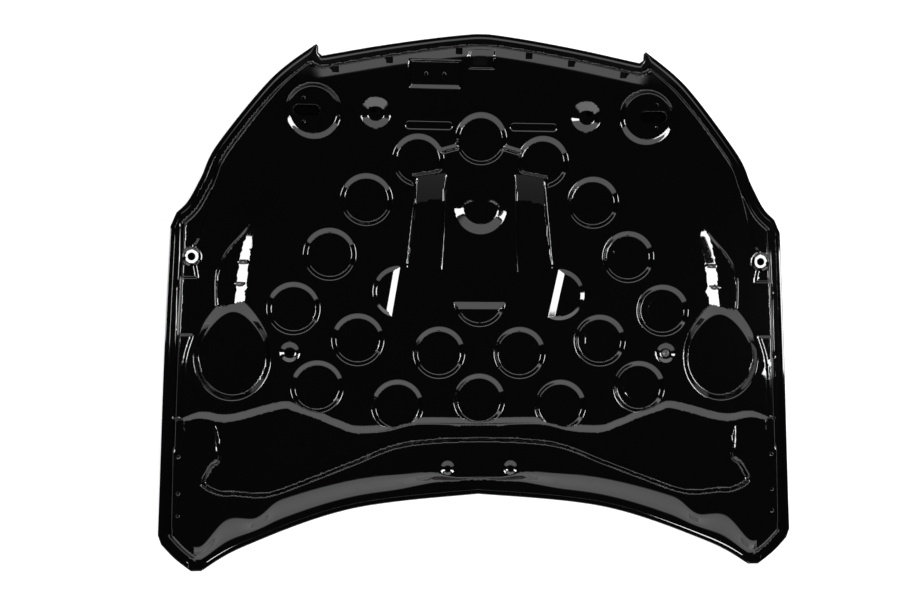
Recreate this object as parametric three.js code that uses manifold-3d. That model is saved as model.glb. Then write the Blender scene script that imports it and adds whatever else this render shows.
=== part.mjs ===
// Car bonnet, lying on its painted outer skin with the pressed inner panel facing up.
// Millimetres. +X is the car's right-hand side as seen here, +Y the nose, +Z the engine side.
// The outer skin is hemmed round the inner panel; mastic pads join the two under every cup.
import * as THREE from "three";
import { mergeVertices } from "three/addons/utils/BufferGeometryUtils.js";
import Module from "manifold-3d";

const wasm = await Module();
wasm.setup();

// Sheets and the hem
const skinThickness = 0.8;
const panelThickness = 0.8;
const seamClearance = 0.4;
const hemWidth = 11;
const hemBend = 2;
const panelEdgeRoom = 2;

// Plan outline, right half; y runs from the tail tips at the back to the nose
const noseY = 622;
const earX = 379;
const earFootY = 553;
const earTipY = 587;
const flankX = 600;
const flankY = 354;
const shoulderX = 705;
const shoulderY = 190;
const rearX = 730;
const rearY = -530;
const tailX = 649;
const tailY = -618;
const rearMidY = -452;

// Facets: spacing of the points along edges and folds, the room each point keeps, and the open pitch
const edgeSpacing = 33;
const flangeSpacing = 34;
const fineRoom = 6;
const pointRoom = 7;
const lineRoom = 9;
const dishSides = 10;
const panelPitch = 72;
const skinPitch = 100;

// Crown of the outer skin: how far its rim stands above its lowest point
const crownY = -40;
const sideRise = 70;
const sidePower = 2.3;
const noseRise = 62;
const nosePower = 4.5;
const tailRise = 20;
const tailPower = 2;

// Inner panel: how far its middle surface stands above the outer face of the skin
const landLift = 24;
const frontLift = 9;
const frontBandInset = 50;
const frontBlend = 120;
const sideBandDrop = 6;
const stepWall = 10;

// Perimeter of the inner panel: width of the flange, then of the wall that climbs off it
const sideFlange = 18;
const sideWall = 12;
const rearFlange = 24;
const frontWall = 10;

// Round cups, the same press tool for each
const cupRadius = 61;
const cupWall = 11;
const cupDepth = 13;
const cupSides = 16;
const cupCentres = [
  [0, 381],
  [147, 329],
  [267, 235],
  [351, 107],
  [433, -19],
  [285, -91],
  [95, -121],
  [378, -200],
  [192, -245],
  [0, -231],
];

// Half cups: a cup cut off by one straight wall, from a to b, with its hollow on the left of a to b
const halfCups = [
  { centre: [0, 1], a: [61, 0], b: [-61, 0], wall: 19 },
  { centre: [-191, 21], a: [-187, 70], b: [-204, -31], wall: 13 },
  { centre: [190, 17], a: [163, -33], b: [184, 64], wall: 15 },
];

// Tapered channels either side of the centre line
const channel = { outerTop: [149, 288], innerTop: [78, 297], outerEnd: [175, 64], innerEnd: [89, 67] };
const channelDepth = 12;
const channelWall = 8;
const channelRampLength = 62;

// Spoon: a neck that runs back and down into an egg-shaped bowl
const bowlCentre = [569, -128];
const bowlHalfWidth = 87;
const bowlFrontReach = 133;
const bowlRearReach = 103;
const bowlWall = 13;
const bowlFrontWall = 30;
const bowlDepth = 17;
const neckFrontY = 186;
const neckLength = 200;
const neckRampLength = 120;
const neckDepth = 9;
const neckInnerWall = 26;
const neckOuterWall = 8;

// Rear recess and the raised band behind it
const recessDepth = 12;
const recessFrontWall = 19;
const recessRearWall = 11;

// Raised forms
const domeCentre = [0, 223];
const domeRadius = 63;
const domeHeight = 13;
const coneCentre = [247, 439];
const coneRadius = 38;
const coneTopRadius = 15;
const coneHeight = 14;
const coneHoleRadius = 7;
const coneHoleOffset = [5, 3];

// Small round pressings
const dimpleCentre = [441, -120];
const dimpleRadius = 26;
const dimpleDepth = 9;
const dishWallShare = 0.5;
const rearBowlCentre = [74, -391];
const rearBowlRadius = 20;
const rearBowlDepth = 8;
const seatCentre = [661, 98];
const seatRadius = 26;
const seatDepth = 5;
const seatHoleRadius = 9;

// Shallow slot beads in front of the cups
const beadCentre = [123, 410];
const beadHalfLength = 46;
const beadRadius = 10;
const beadHeight = 2;

// Flat pads that carry the fittings, each backed by a plate with weld nuts
const strikerCentre = [390, 437];
const strikerPadRadius = 66;
const strikerPadHeight = 7;
const strikerPlateRadius = 50;
const strikerSlotOffset = 15;
const strikerSlotLength = 62;
const strikerSlotWidth = 26;
const strikerBoltPitch = 54;
const strikerBoltOffset = 22;
const hingeCentre = [rearX - 58, rearY + 106];
const hingePadHalf = [31, 92];
const hingePlateHalf = [21.5, 82];
const hingeBoltX = 13;
const hingeBoltY = [70, -12, -62];
const catchCentre = [-110, 528];
const catchPadHalf = [62, 34];
const catchPadHeight = 6;
const catchPlateHalf = [46, 22];
const catchBoltPitch = 42;
const padWall = 9;
const plateThickness = 1.5;
const plateCornerRadius = 10;
const boltHoleRadius = 4.5;
const nutAcrossFlats = 13;
const nutHeight = 6.5;
const nutHoleRadius = 3.8;

// Nose pocket with the latch hole, and the trim clip holes along the front
const pocketCentre = [-1, 565];
const pocketHalf = [32, 24];
const pocketDepth = 4;
const pocketWall = 6;
const pocketHoleCentre = [-4, 560];
const pocketHoleHalf = [17, 10];
const holeCorner = 3;
const clipHole = [16, 14];
const clipCorner = 2;
const clipHolesX = [-340, -216, -55, 109, 209, 333];
const clipInset = 36.5;

// Mastic pads and the plug in the right-hand dimple
const masticRadius = 20;
const masticSides = 8;
const plugRadius = 9;
const plugHoleRadius = 6.5;
const plugFlange = 2;
const plugStem = 7;

const clamp = (v) => Math.min(1, Math.max(0, v));
const ramp = (v) => clamp(v) * clamp(v) * (3 - 2 * clamp(v));
const sides = [-1, 1];

// Plan curves

function smooth(points, spacing) {
  const curve = new THREE.SplineCurve(points.map(([x, y]) => new THREE.Vector2(x, y)));
  const count = Math.max(2, Math.round(curve.getLength() / spacing));
  return curve.getSpacedPoints(count).map((p) => [p.x, p.y]);
}

// The curves of the right half, from the nose round to the middle of the rear edge.
const frontEdge = [
  [0, noseY],
  [earX * 0.32, noseY - 16.5],
  [earX * 0.64, noseY - 39.5],
  [earX - 8, earFootY],
];
const flankEdge = [
  [earX + 6, earTipY - 3],
  [earX + 101, (earTipY + flankY) / 2 + 29],
  [flankX, flankY],
  [flankX + 38, flankY - 76],
  [shoulderX - 34, shoulderY + 36],
  [shoulderX - 9, shoulderY + 8],
];
const sideEdge = [
  [shoulderX, shoulderY - 24],
  [(shoulderX + rearX) / 2 + 1, (shoulderY + rearY) / 2 + 20],
  [rearX, rearY],
];
const cornerEdge = [
  [rearX - 4, rearY - 12],
  [(rearX + tailX) / 2, (rearY + tailY) / 2 - 6],
  [tailX + 7, tailY + 3],
];
const rearEdge = [
  [tailX - 14, tailY + 3],
  [tailX * 0.83, rearMidY + (tailY - rearMidY) * 0.665],
  [tailX * 0.46, rearMidY + (tailY - rearMidY) * 0.19],
  [0, rearMidY],
];

function rightOutline() {
  return [
    ...smooth(frontEdge, edgeSpacing),
    [earX, earFootY + 6],
    [earX, earFootY + 20],
    [earX + 1, earTipY],
    ...smooth(flankEdge, edgeSpacing),
    [shoulderX, shoulderY - 6],
    ...smooth(sideEdge, edgeSpacing * 1.4),
    ...smooth(cornerEdge, edgeSpacing),
    [tailX, tailY],
    ...smooth(rearEdge, edgeSpacing),
  ];
}

// Mirrors a right-half line that starts and ends on the centre line into a closed loop.
function mirrored(line) {
  const left = line.slice(1, -1).map(([x, y]) => [-x, y]);
  return [...line, ...left.reverse()];
}

const outline = mirrored(rightOutline());

// Distance from a point to a line of points, open or closed.
function distanceTo(line, x, y, closed) {
  let least = Infinity;
  const count = closed ? line.length : line.length - 1;
  for (let i = 0; i < count; i++) {
    const [ax, ay] = line[i];
    const [bx, by] = line[(i + 1) % line.length];
    const dx = bx - ax;
    const dy = by - ay;
    const t = clamp(((x - ax) * dx + (y - ay) * dy) / (dx * dx + dy * dy));
    least = Math.min(least, Math.hypot(x - ax - t * dx, y - ay - t * dy));
  }
  return least;
}

function isInside(loop, x, y) {
  let inside = false;
  for (let i = 0, j = loop.length - 1; i < loop.length; j = i++) {
    const [ax, ay] = loop[i];
    const [bx, by] = loop[j];
    if (ay > y !== by > y && x < ((bx - ax) * (y - ay)) / (by - ay) + ax) inside = !inside;
  }
  return inside;
}

// How deep a point lies inside a closed loop; negative outside it.
function depthIn(loop, x, y) {
  const distance = distanceTo(loop, x, y, true);
  return isInside(loop, x, y) ? distance : -distance;
}

// Half-width or edge height of an open line at one ordinate, by straight interpolation.
function crossing(line, value, axis) {
  const other = 1 - axis;
  for (let i = 0; i + 1 < line.length; i++) {
    const a = line[i];
    const b = line[i + 1];
    if ((a[axis] - value) * (b[axis] - value) <= 0 && a[axis] !== b[axis]) {
      return a[other] + ((b[other] - a[other]) * (value - a[axis])) / (b[axis] - a[axis]);
    }
  }
  const last = Math.abs(line[0][axis] - value) < Math.abs(line.at(-1)[axis] - value);
  return last ? line[0][other] : line.at(-1)[other];
}

const frontLine = [...smooth(frontEdge, edgeSpacing), [earX, earFootY]];
const rearLine = smooth(rearEdge, edgeSpacing);

// Outer face of the skin
function skinZ(x, y) {
  const side = sideRise * (Math.abs(x) / rearX) ** sidePower;
  const nose = noseRise * (Math.max(0, y - crownY) / (noseY - crownY)) ** nosePower;
  const tail = tailRise * (Math.max(0, crownY - y) / (crownY - tailY)) ** tailPower;
  return side + nose + tail;
}

// Break lines of the inner panel, right half, measured back from the edges where they follow them
const sideBandLine = smooth(
  [
    [flankX - 40, flankY + 16],
    [flankX - 15, flankY - 34],
    [shoulderX - 71, shoulderY - 33],
    [shoulderX - 53, shoulderY - 80],
    [shoulderX - 62, shoulderY - 149],
    [shoulderX - 56, shoulderY - 250],
    [shoulderX - 36, shoulderY - 330],
    [shoulderX - 30, shoulderY - 460],
  ],
  edgeSpacing,
);
const rearShoulderLine = smooth(
  [
    [0, rearMidY + 50],
    [115, rearMidY + 52],
    [251, rearMidY + 41],
    [347, rearMidY + 24],
    [440, rearMidY - 2],
    [471, rearMidY - 15],
    [515, rearMidY - 47],
    [578, rearMidY - 46],
    [tailX - 17, tailY + 66],
    [tailX + 15, tailY + 72],
  ],
  edgeSpacing,
);
const recessFrontLine = smooth(
  [
    [0, rearMidY + 172],
    [110, rearMidY + 175],
    [161, rearMidY + 174],
    [215, rearMidY + 156],
    [293, rearMidY + 149],
    [319, rearMidY + 164],
    [368, rearMidY + 189],
    [423, rearMidY + 209],
    [450, rearMidY + 219],
    [555, rearMidY + 192],
    [620, rearMidY + 197],
    [676, rearMidY + 184],
  ],
  edgeSpacing,
);
const recessRearLine = smooth(
  [
    [672, rearMidY + 150],
    [650, rearMidY + 134],
    [608, rearMidY + 111],
    [624, rearMidY + 70],
    [638, rearMidY + 33],
    [601, rearMidY + 9],
    [485, rearMidY + 4],
    [385, rearMidY + 45],
    [289, rearMidY + 79],
    [198, rearMidY + 122],
    [119, rearMidY + 134],
    [0, rearMidY + 140],
  ],
  edgeSpacing,
);
const recessLoop = mirrored([...recessFrontLine, ...recessRearLine]);
const neckInnerLine = [
  [524, neckFrontY],
  [517, neckFrontY - 28],
  [531, neckFrontY - 94],
  [542, neckFrontY - neckLength],
];
const neckOuterLine = [
  [526, neckFrontY],
  [548, neckFrontY - 36],
  [574, neckFrontY - 78],
  [606, neckFrontY - 142],
  [606, neckFrontY - neckLength],
];

// How far the land has climbed off the flange: 0 on the flange, 1 on the land.
function perimeter(x, y, inset) {
  const rearFoot = crossing(rearLine, x, 0) + rearFlange;
  const rearTop = crossing(rearShoulderLine, x, 0);
  const rear = x < tailX ? ramp((y - rearFoot) / (rearTop - rearFoot)) : 1;
  const toFlank = y > 0 ? ramp((x - earX) / (flankX - earX)) : 1;
  const wall = frontWall + (sideWall - frontWall) * toFlank;
  return Math.min(rear, ramp((inset - sideFlange) / wall));
}

// Hollows, as depths below the land

function cupHollow(x, y) {
  const radii = cupCentres.map(([cx, cy]) => Math.hypot(x - cx, y - cy));
  return cupDepth * ramp((cupRadius - Math.min(...radii)) / cupWall);
}

function halfCupHollow(x, y) {
  const depths = halfCups.map(({ centre, a, b, wall }) => {
    const length = Math.hypot(b[0] - a[0], b[1] - a[1]);
    const past = ((b[0] - a[0]) * (y - a[1]) - (b[1] - a[1]) * (x - a[0])) / length;
    const round = (cupRadius - Math.hypot(x - centre[0], y - centre[1])) / cupWall;
    return cupDepth * Math.min(ramp(round), ramp(past / wall));
  });
  return Math.max(...depths);
}

function channelHollow(x, y) {
  const { outerTop, innerTop, outerEnd, innerEnd } = channel;
  const inner = crossing([innerTop, innerEnd], y, 1);
  const outer = crossing([outerTop, outerEnd], y, 1);
  const top = crossing([innerTop, outerTop], x, 0);
  if (y > top || y < outerEnd[1] || x < inner || x > outer) return 0;
  const fall = (top - y) / channelRampLength;
  const fade = (y - outerEnd[1]) / (outerTop[1] - channelRampLength - outerEnd[1]);
  const wall = Math.min(x - inner, outer - x) / channelWall;
  return channelDepth * Math.min(1, fall, fade) * ramp(wall);
}

// Plan radius of the egg-shaped bowl, as a share of its rim.
function bowlShare(x, y) {
  const reach = y > bowlCentre[1] ? bowlFrontReach : bowlRearReach;
  return Math.hypot((x - bowlCentre[0]) / bowlHalfWidth, (y - bowlCentre[1]) / reach);
}

function bowlHollow(x, y) {
  const forward = ramp((y - bowlCentre[1]) / bowlFrontReach);
  const wall = bowlWall + (bowlFrontWall - bowlWall) * forward;
  return bowlDepth * ramp(((1 - bowlShare(x, y)) * bowlHalfWidth) / wall);
}

function neckHollow(x, y) {
  if (y > neckFrontY || y < neckFrontY - neckLength) return 0;
  const inner = ramp((x - crossing(neckInnerLine, y, 1)) / neckInnerWall);
  const outer = ramp((crossing(neckOuterLine, y, 1) - x) / neckOuterWall);
  return neckDepth * Math.min(1, (neckFrontY - y) / neckRampLength) * Math.min(inner, outer);
}

function recessHollow(x, y) {
  const depth = depthIn(recessLoop, x, y);
  if (depth <= 0) return 0;
  const toFront = distanceTo(recessFrontLine, x, y, false) / recessFrontWall;
  const toRear = distanceTo(recessRearLine, x, y, false) / recessRearWall;
  return recessDepth * ramp(Math.min(toFront, toRear));
}

function roundHollow(x, y, centre, radius, depth) {
  return depth * ramp((radius - Math.hypot(x - centre[0], y - centre[1])) / (radius * dishWallShare));
}

function pocketHollow(x, y) {
  const dx = pocketHalf[0] - Math.abs(x - pocketCentre[0]);
  const dy = pocketHalf[1] - Math.abs(y - pocketCentre[1]);
  return pocketDepth * ramp(Math.min(dx, dy) / pocketWall);
}

// Raised forms, as heights above the land

function domeRise(x, y) {
  const share = Math.hypot(x - domeCentre[0], y - domeCentre[1]) / domeRadius;
  return share < 1 ? domeHeight * (1 - share * share) ** 1.5 : 0;
}

function coneRise(x, y) {
  const reach = coneRadius - Math.hypot(x - coneCentre[0], y - coneCentre[1]);
  return coneHeight * ramp(reach / (coneRadius - coneTopRadius));
}

function beadRise(x, y) {
  const along = Math.max(0, Math.abs(x - beadCentre[0]) - beadHalfLength);
  return beadHeight * ramp((beadRadius - Math.hypot(along, y - beadCentre[1])) / beadRadius);
}

// Middle surface of the inner panel before the flat pads are pressed into it.
function formedZ(x, y) {
  const ax = Math.abs(x);
  const inset = depthIn(outline, ax, y);
  const flange = skinThickness + seamClearance + panelThickness / 2;
  const fromFront = crossing(frontLine, Math.min(ax, earX), 0) - y;
  const blend = ramp((fromFront - frontBandInset) / frontBlend);
  const land = y > 0 ? frontLift + (landLift - frontLift) * blend : landLift;
  const bandEdge = crossing(sideBandLine, y, 1);
  const onBand = y < sideBandLine[0][1] && y > sideBandLine.at(-1)[1] ? ramp((ax - bandEdge) / stepWall) : 0;
  const hollow = Math.max(
    cupHollow(ax, y),
    halfCupHollow(x, y),
    channelHollow(ax, y),
    bowlHollow(ax, y),
    neckHollow(ax, y),
    recessHollow(ax, y),
    roundHollow(ax, y, dimpleCentre, dimpleRadius, dimpleDepth),
    roundHollow(ax, y, rearBowlCentre, rearBowlRadius, rearBowlDepth),
    roundHollow(ax, y, seatCentre, seatRadius, seatDepth) + sideBandDrop * onBand,
    pocketHollow(x, y),
  );
  const rise = domeRise(ax, y) + coneRise(ax, y) + beadRise(ax, y);
  const climbed = perimeter(ax, y, inset);
  return skinZ(x, y) + flange + (land - flange - hollow + rise) * climbed;
}

// A flat pad: its plane follows the land at its centre, and its rim blends into the land.
function flatPad(centre, height, reach) {
  const [cx, cy] = centre;
  const step = 8;
  const z = formedZ(cx, cy) + height;
  const slopeX = (skinZ(cx + step, cy) - skinZ(cx - step, cy)) / (2 * step);
  const slopeY = (skinZ(cx, cy + step) - skinZ(cx, cy - step)) / (2 * step);
  return { centre, z, slopeX, slopeY, reach };
}

const roundReach = (radius, cx, cy) => (x, y) => radius - Math.hypot(x - cx, y - cy);
const boxReach = (half, cx, cy) => (x, y) =>
  Math.min(half[0] - Math.abs(x - cx), half[1] - Math.abs(y - cy));

function padAt(sign, centre, height, makeReach, size) {
  const place = [centre[0] * sign, centre[1]];
  return flatPad(place, height, makeReach(size, ...place));
}

const strikerPads = sides.map((s) =>
  padAt(s, strikerCentre, strikerPadHeight, roundReach, strikerPadRadius),
);
const hingePads = sides.map((s) => padAt(s, hingeCentre, 0, boxReach, hingePadHalf));
const catchPad = padAt(1, catchCentre, catchPadHeight, boxReach, catchPadHalf);
const pads = [...strikerPads, ...hingePads, catchPad];

const padZ = (pad, x, y) =>
  pad.z + pad.slopeX * (x - pad.centre[0]) + pad.slopeY * (y - pad.centre[1]);

function panelZ(x, y) {
  return pads.reduce((z, pad) => {
    const share = ramp(pad.reach(x, y) / padWall);
    return share > 0 ? z + (padZ(pad, x, y) - z) * share : z;
  }, formedZ(x, y));
}

// Triangulation

// Collects plan points, leaving out any that crowds one already there, and the folds between them.
class PlanPoints {
  constructor(boundary) {
    this.boundary = boundary;
    this.points = boundary.map((p) => [...p]);
    this.folds = [];
  }

  // Adds the points of a closed line along which the sheet folds.
  addFold(points, room, edgeRoom) {
    const places = points.map((point) => {
      const before = this.points.length;
      this.add([point], room, edgeRoom);
      return this.points.length > before ? before : -1;
    });
    const kept = places.filter((place) => place >= 0);
    kept.forEach((place, i) => this.folds.push([place, kept[(i + 1) % kept.length]]));
  }

  // Splits each fold that no triangle edge follows, and says whether there was one.
  splitFolds(triangles) {
    const edges = new Set(triangles.flatMap(([a, b, c]) => [`${a},${b}`, `${b},${c}`, `${c},${a}`]));
    const kept = this.folds.filter(([a, b]) => edges.has(`${a},${b}`) || edges.has(`${b},${a}`));
    const lost = this.folds.filter((fold) => !kept.includes(fold));
    const halves = lost.flatMap(([a, b]) => {
      const middle = this.points.length;
      const [p, q] = [this.points[a], this.points[b]];
      this.points.push([(p[0] + q[0]) / 2, (p[1] + q[1]) / 2]);
      return [[a, middle], [middle, b]];
    });
    this.folds = [...kept, ...halves];
    return lost.length > 0;
  }

  add(points, room, edgeRoom = room) {
    for (const [x, y] of points) {
      const crowded = this.points.some(([px, py]) => Math.hypot(px - x, py - y) < room);
      if (!crowded && depthIn(this.boundary, x, y) > edgeRoom) this.points.push([x, y]);
    }
  }

  fill(pitch, room) {
    const xs = this.boundary.map((p) => p[0]);
    const ys = this.boundary.map((p) => p[1]);
    const rowPitch = pitch * Math.sin(Math.PI / 3);
    const half = Math.ceil(Math.max(...xs) / pitch);
    let row = 0;
    for (let y = Math.min(...ys); y < Math.max(...ys); y += rowPitch, row++) {
      const shift = row % 2 ? pitch / 2 : 0;
      const line = [];
      for (let i = -half; i <= half; i++) line.push([i * pitch + shift, y]);
      this.add(line, room);
    }
  }
}

// Delaunay triangles of plan points, by inserting them one at a time. Each point is first nudged
// by less than a thousandth of a millimetre, so that no four of a ring lie on one circle.
function triangulate(points) {
  const span = 1e5;
  const nudged = points.map(([x, y], i) => [x + 5e-4 * Math.sin(12.9 * i), y + 5e-4 * Math.sin(78.2 * i)]);
  const all = [...nudged, [-span, -span], [span, -span], [0, span]];
  const circle = (a, b, c) => {
    const [ax, ay] = all[a];
    const [bx, by] = [all[b][0] - ax, all[b][1] - ay];
    const [cx, cy] = [all[c][0] - ax, all[c][1] - ay];
    const d = 2 * (bx * cy - by * cx);
    const ux = (cy * (bx * bx + by * by) - by * (cx * cx + cy * cy)) / d;
    const uy = (bx * (cx * cx + cy * cy) - cx * (bx * bx + by * by)) / d;
    return { a, b, c, x: ax + ux, y: ay + uy, r: ux * ux + uy * uy };
  };
  let triangles = [circle(points.length, points.length + 1, points.length + 2)];
  nudged.forEach(([x, y], i) => {
    const edges = new Map();
    triangles = triangles.filter((t) => {
      if ((t.x - x) ** 2 + (t.y - y) ** 2 > t.r) return true;
      for (const [p, q] of [[t.a, t.b], [t.b, t.c], [t.c, t.a]]) {
        if (!edges.delete(`${q},${p}`)) edges.set(`${p},${q}`, [p, q]);
      }
      return false;
    });
    for (const [p, q] of edges.values()) triangles.push(circle(p, q, i));
  });
  return triangles.filter((t) => Math.max(t.a, t.b, t.c) < points.length).map((t) => [t.a, t.b, t.c]);
}

const splitRounds = 6;

// The triangles of a plan that lie inside its boundary, with an edge along each of its folds.
function planTriangles(plan) {
  const { points, boundary } = plan;
  let triangles = triangulate(points);
  for (let round = 0; round < splitRounds && plan.splitFolds(triangles); round++) {
    triangles = triangulate(points);
  }
  return triangles.filter(([a, b, c]) => {
    const x = (points[a][0] + points[b][0] + points[c][0]) / 3;
    const y = (points[a][1] + points[b][1] + points[c][1]) / 3;
    return isInside(boundary, x, y);
  });
}

// The directed edges that only one triangle uses.
function rimEdges(triangles) {
  const rim = new Map();
  for (const [a, b, c] of triangles) {
    for (const [p, q] of [[a, b], [b, c], [c, a]]) {
      if (!rim.delete(`${q},${p}`)) rim.set(`${p},${q}`, [p, q]);
    }
  }
  return [...rim.values()];
}

function geometryOf(positions, triangles) {
  const geometry = new THREE.BufferGeometry();
  geometry.setAttribute("position", new THREE.Float32BufferAttribute(positions.flat(), 3));
  geometry.setIndex(triangles.flat());
  return geometry;
}

// A sheet of even thickness whose middle surface is the height of each plan point.
function sheet(plan, heightAt, thickness) {
  const triangles = planTriangles(plan);
  const middle = plan.points.map(([x, y]) => new THREE.Vector3(x, y, heightAt(x, y)));
  const normals = middle.map(() => new THREE.Vector3());
  for (const [a, b, c] of triangles) {
    const along = middle[b].clone().sub(middle[a]);
    const normal = along.cross(middle[c].clone().sub(middle[a]));
    for (const i of [a, b, c]) normals[i].add(normal);
  }
  const offset = (side) =>
    middle.map((p, i) => p.clone().addScaledVector(normals[i].clone().normalize(), side).toArray());
  const n = middle.length;
  const positions = [...offset(thickness / 2), ...offset(-thickness / 2)];
  const under = triangles.map(([a, b, c]) => [a + n, c + n, b + n]);
  const walls = rimEdges(triangles).flatMap(([a, b]) => [
    [b, a, a + n],
    [b, a + n, b + n],
  ]);
  return geometryOf(positions, [...triangles, ...under, ...walls]);
}

// Solids

function solid(geometry) {
  const bare = geometry.clone();
  bare.deleteAttribute("normal");
  bare.deleteAttribute("uv");
  const merged = mergeVertices(bare, 1e-4);
  return new wasm.Manifold(
    new wasm.Mesh({
      numProp: 3,
      vertProperties: merged.attributes.position.array,
      triVerts: new Uint32Array(merged.index.array),
    }),
  );
}

function geometryFrom(manifold) {
  const mesh = manifold.getMesh();
  const geometry = new THREE.BufferGeometry();
  geometry.setAttribute("position", new THREE.BufferAttribute(new Float32Array(mesh.vertProperties), 3));
  geometry.setIndex(new THREE.BufferAttribute(new Uint32Array(mesh.triVerts), 1));
  return geometry;
}

const cutterHeight = 60;
const arcSteps = 4;

// An upright prism of a plan shape, centred on the panel at its place.
function cutter(shape, x, y) {
  const prism = new THREE.ExtrudeGeometry(shape, {
    depth: cutterHeight,
    bevelEnabled: false,
    curveSegments: arcSteps,
  });
  return prism.translate(x, y, panelZ(x, y) - cutterHeight / 2);
}

function roundShape(radius) {
  return new THREE.Shape().absarc(0, 0, radius, 0, 2 * Math.PI);
}

function boxShape(halfX, halfY, corner) {
  const corners = [[1, 1], [-1, 1], [-1, -1], [1, -1]];
  const steps = 2;
  const points = corners.flatMap(([sx, sy], quarter) =>
    Array.from({ length: steps + 1 }, (_, i) => {
      const angle = (Math.PI / 2) * (quarter + i / steps);
      const x = sx * (halfX - corner) + corner * Math.cos(angle);
      return new THREE.Vector2(x, sy * (halfY - corner) + corner * Math.sin(angle));
    }),
  );
  return new THREE.Shape(points);
}

// Plan loops on which the panel bends

function circlePoints(centre, radius, count) {
  return Array.from({ length: count }, (_, i) => {
    const angle = (2 * Math.PI * (i + 0.5)) / count;
    return [centre[0] + radius * Math.cos(angle), centre[1] + radius * Math.sin(angle)];
  });
}

const bothSides = (points) => [...points, ...points.map(([x, y]) => [-x, y])];

// Points a given distance to the left of an open line, which runs with the land on that side.
function shifted(line, distance) {
  return line.map(([x, y], i) => {
    const a = line[Math.max(0, i - 1)];
    const b = line[Math.min(line.length - 1, i + 1)];
    const length = Math.hypot(b[0] - a[0], b[1] - a[1]);
    return [x - ((b[1] - a[1]) / length) * distance, y + ((b[0] - a[0]) / length) * distance];
  });
}

// Points at an even spacing round a closed loop.
function spaced(loop, spacing) {
  const curve = new THREE.CurvePath();
  const points = loop.map(([x, y]) => new THREE.Vector2(x, y));
  points.forEach((p, i) => curve.add(new THREE.LineCurve(p, points[(i + 1) % points.length])));
  const count = Math.round(curve.getLength() / spacing);
  return Array.from({ length: count }, (_, i) => curve.getPointAt(i / count)).map((p) => [p.x, p.y]);
}

// Moves a point along the slope of the depth until it lies at the given depth inside the outline.
function settled([x, y], depth) {
  const step = 0.5;
  const here = depthIn(outline, x, y);
  const gx = (depthIn(outline, x + step, y) - depthIn(outline, x - step, y)) / (2 * step);
  const gy = (depthIn(outline, x, y + step) - depthIn(outline, x, y - step)) / (2 * step);
  return [x + gx * (depth - here), y + gy * (depth - here)];
}

// A loop moved inwards off the outline: crowded points of a tight corner are left out, and a wide
// gap that a corner opens gets a point of its own.
function inwards(loop, distance, spacing) {
  const closed = [loop.at(-1), ...loop, loop[0]];
  const moved = shifted(closed, -distance).slice(1, -1);
  const kept = moved.filter(([x, y]) => depthIn(outline, x, y) > distance * 0.9);
  return kept.flatMap((p, i) => {
    const q = kept[(i + 1) % kept.length];
    const middle = [(p[0] + q[0]) / 2, (p[1] + q[1]) / 2];
    const isOff = Math.abs(depthIn(outline, ...middle) - distance) > distance * 0.08;
    const isWide = Math.hypot(q[0] - p[0], q[1] - p[1]) > spacing * 0.4;
    return isOff && isWide ? [p, settled(settled(middle, distance), distance)] : [p];
  });
}

const insetOutline = (distance) => inwards(outline, distance, Infinity);
const insetRow = (distance, spacing) => inwards(spaced(outline, spacing), distance, spacing);

function segment(a, b, count) {
  return Array.from({ length: count + 1 }, (_, i) => [
    a[0] + ((b[0] - a[0]) * i) / count,
    a[1] + ((b[1] - a[1]) * i) / count,
  ]);
}

// Mesh points of one half cup: its arc at rim and foot, and its straight wall.
function halfCupPoints({ centre, a, b, wall }) {
  const length = Math.hypot(b[0] - a[0], b[1] - a[1]);
  const past = ([x, y]) => ((b[0] - a[0]) * (y - a[1]) - (b[1] - a[1]) * (x - a[0])) / length;
  const rim = circlePoints(centre, cupRadius, cupSides).filter((p) => past(p) > 4);
  const foot = circlePoints(centre, cupRadius - cupWall, cupSides).filter((p) => past(p) > wall + 4);
  const line = segment(a, b, 5);
  const inRim = ([x, y]) => Math.hypot(x - centre[0], y - centre[1]) < cupRadius - cupWall + 2;
  return [...rim, ...foot, ...line, ...shifted(line, wall).filter(inRim)];
}

function channelPoints() {
  const { outerTop, innerTop, outerEnd, innerEnd } = channel;
  const inner = segment(innerTop, innerEnd, 7);
  const outer = segment(outerTop, outerEnd, 7);
  const foot = [...shifted(inner, channelWall), ...shifted(outer, -channelWall)];
  const rampEnd = outerTop[1] - channelRampLength;
  const onRampEnd = [inner, outer].map((line) => [crossing(line, rampEnd, 1), rampEnd]);
  const across = segment(onRampEnd[0], onRampEnd[1], 3);
  return [...segment(innerTop, outerTop, 4), ...inner, ...outer, ...foot, ...across];
}

function bowlPoints() {
  const loop = (inset, count) =>
    circlePoints([0, 0], 1, count).map(([cx, cy]) => {
      const wall = cy > 0 ? bowlWall + (bowlFrontWall - bowlWall) * cy * cy : bowlWall;
      const reach = cy > 0 ? bowlFrontReach : bowlRearReach;
      const share = 1 - (inset * wall) / bowlHalfWidth;
      return [bowlCentre[0] + cx * share * bowlHalfWidth, bowlCentre[1] + cy * share * reach];
    });
  return [...loop(0, 22), ...loop(1, 18)];
}

// The closed lines at the foot and the rim of a rectangular pad.
function padLoops(centre, half) {
  const [cx, cy] = centre;
  const loop = (inset) => {
    const [hx, hy] = [half[0] - inset, half[1] - inset];
    const corners = [[hx, hy], [-hx, hy], [-hx, -hy], [hx, -hy], [hx, hy]];
    const sidesOf = corners.slice(0, -1).map((corner, i) => {
      const next = corners[i + 1];
      const count = Math.ceil(Math.hypot(next[0] - corner[0], next[1] - corner[1]) / flangeSpacing);
      return segment(corner, next, count).slice(1);
    });
    return sidesOf.flat().map(([x, y]) => [cx + x, cy + y]);
  };
  return [loop(padWall), loop(0)];
}

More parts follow.
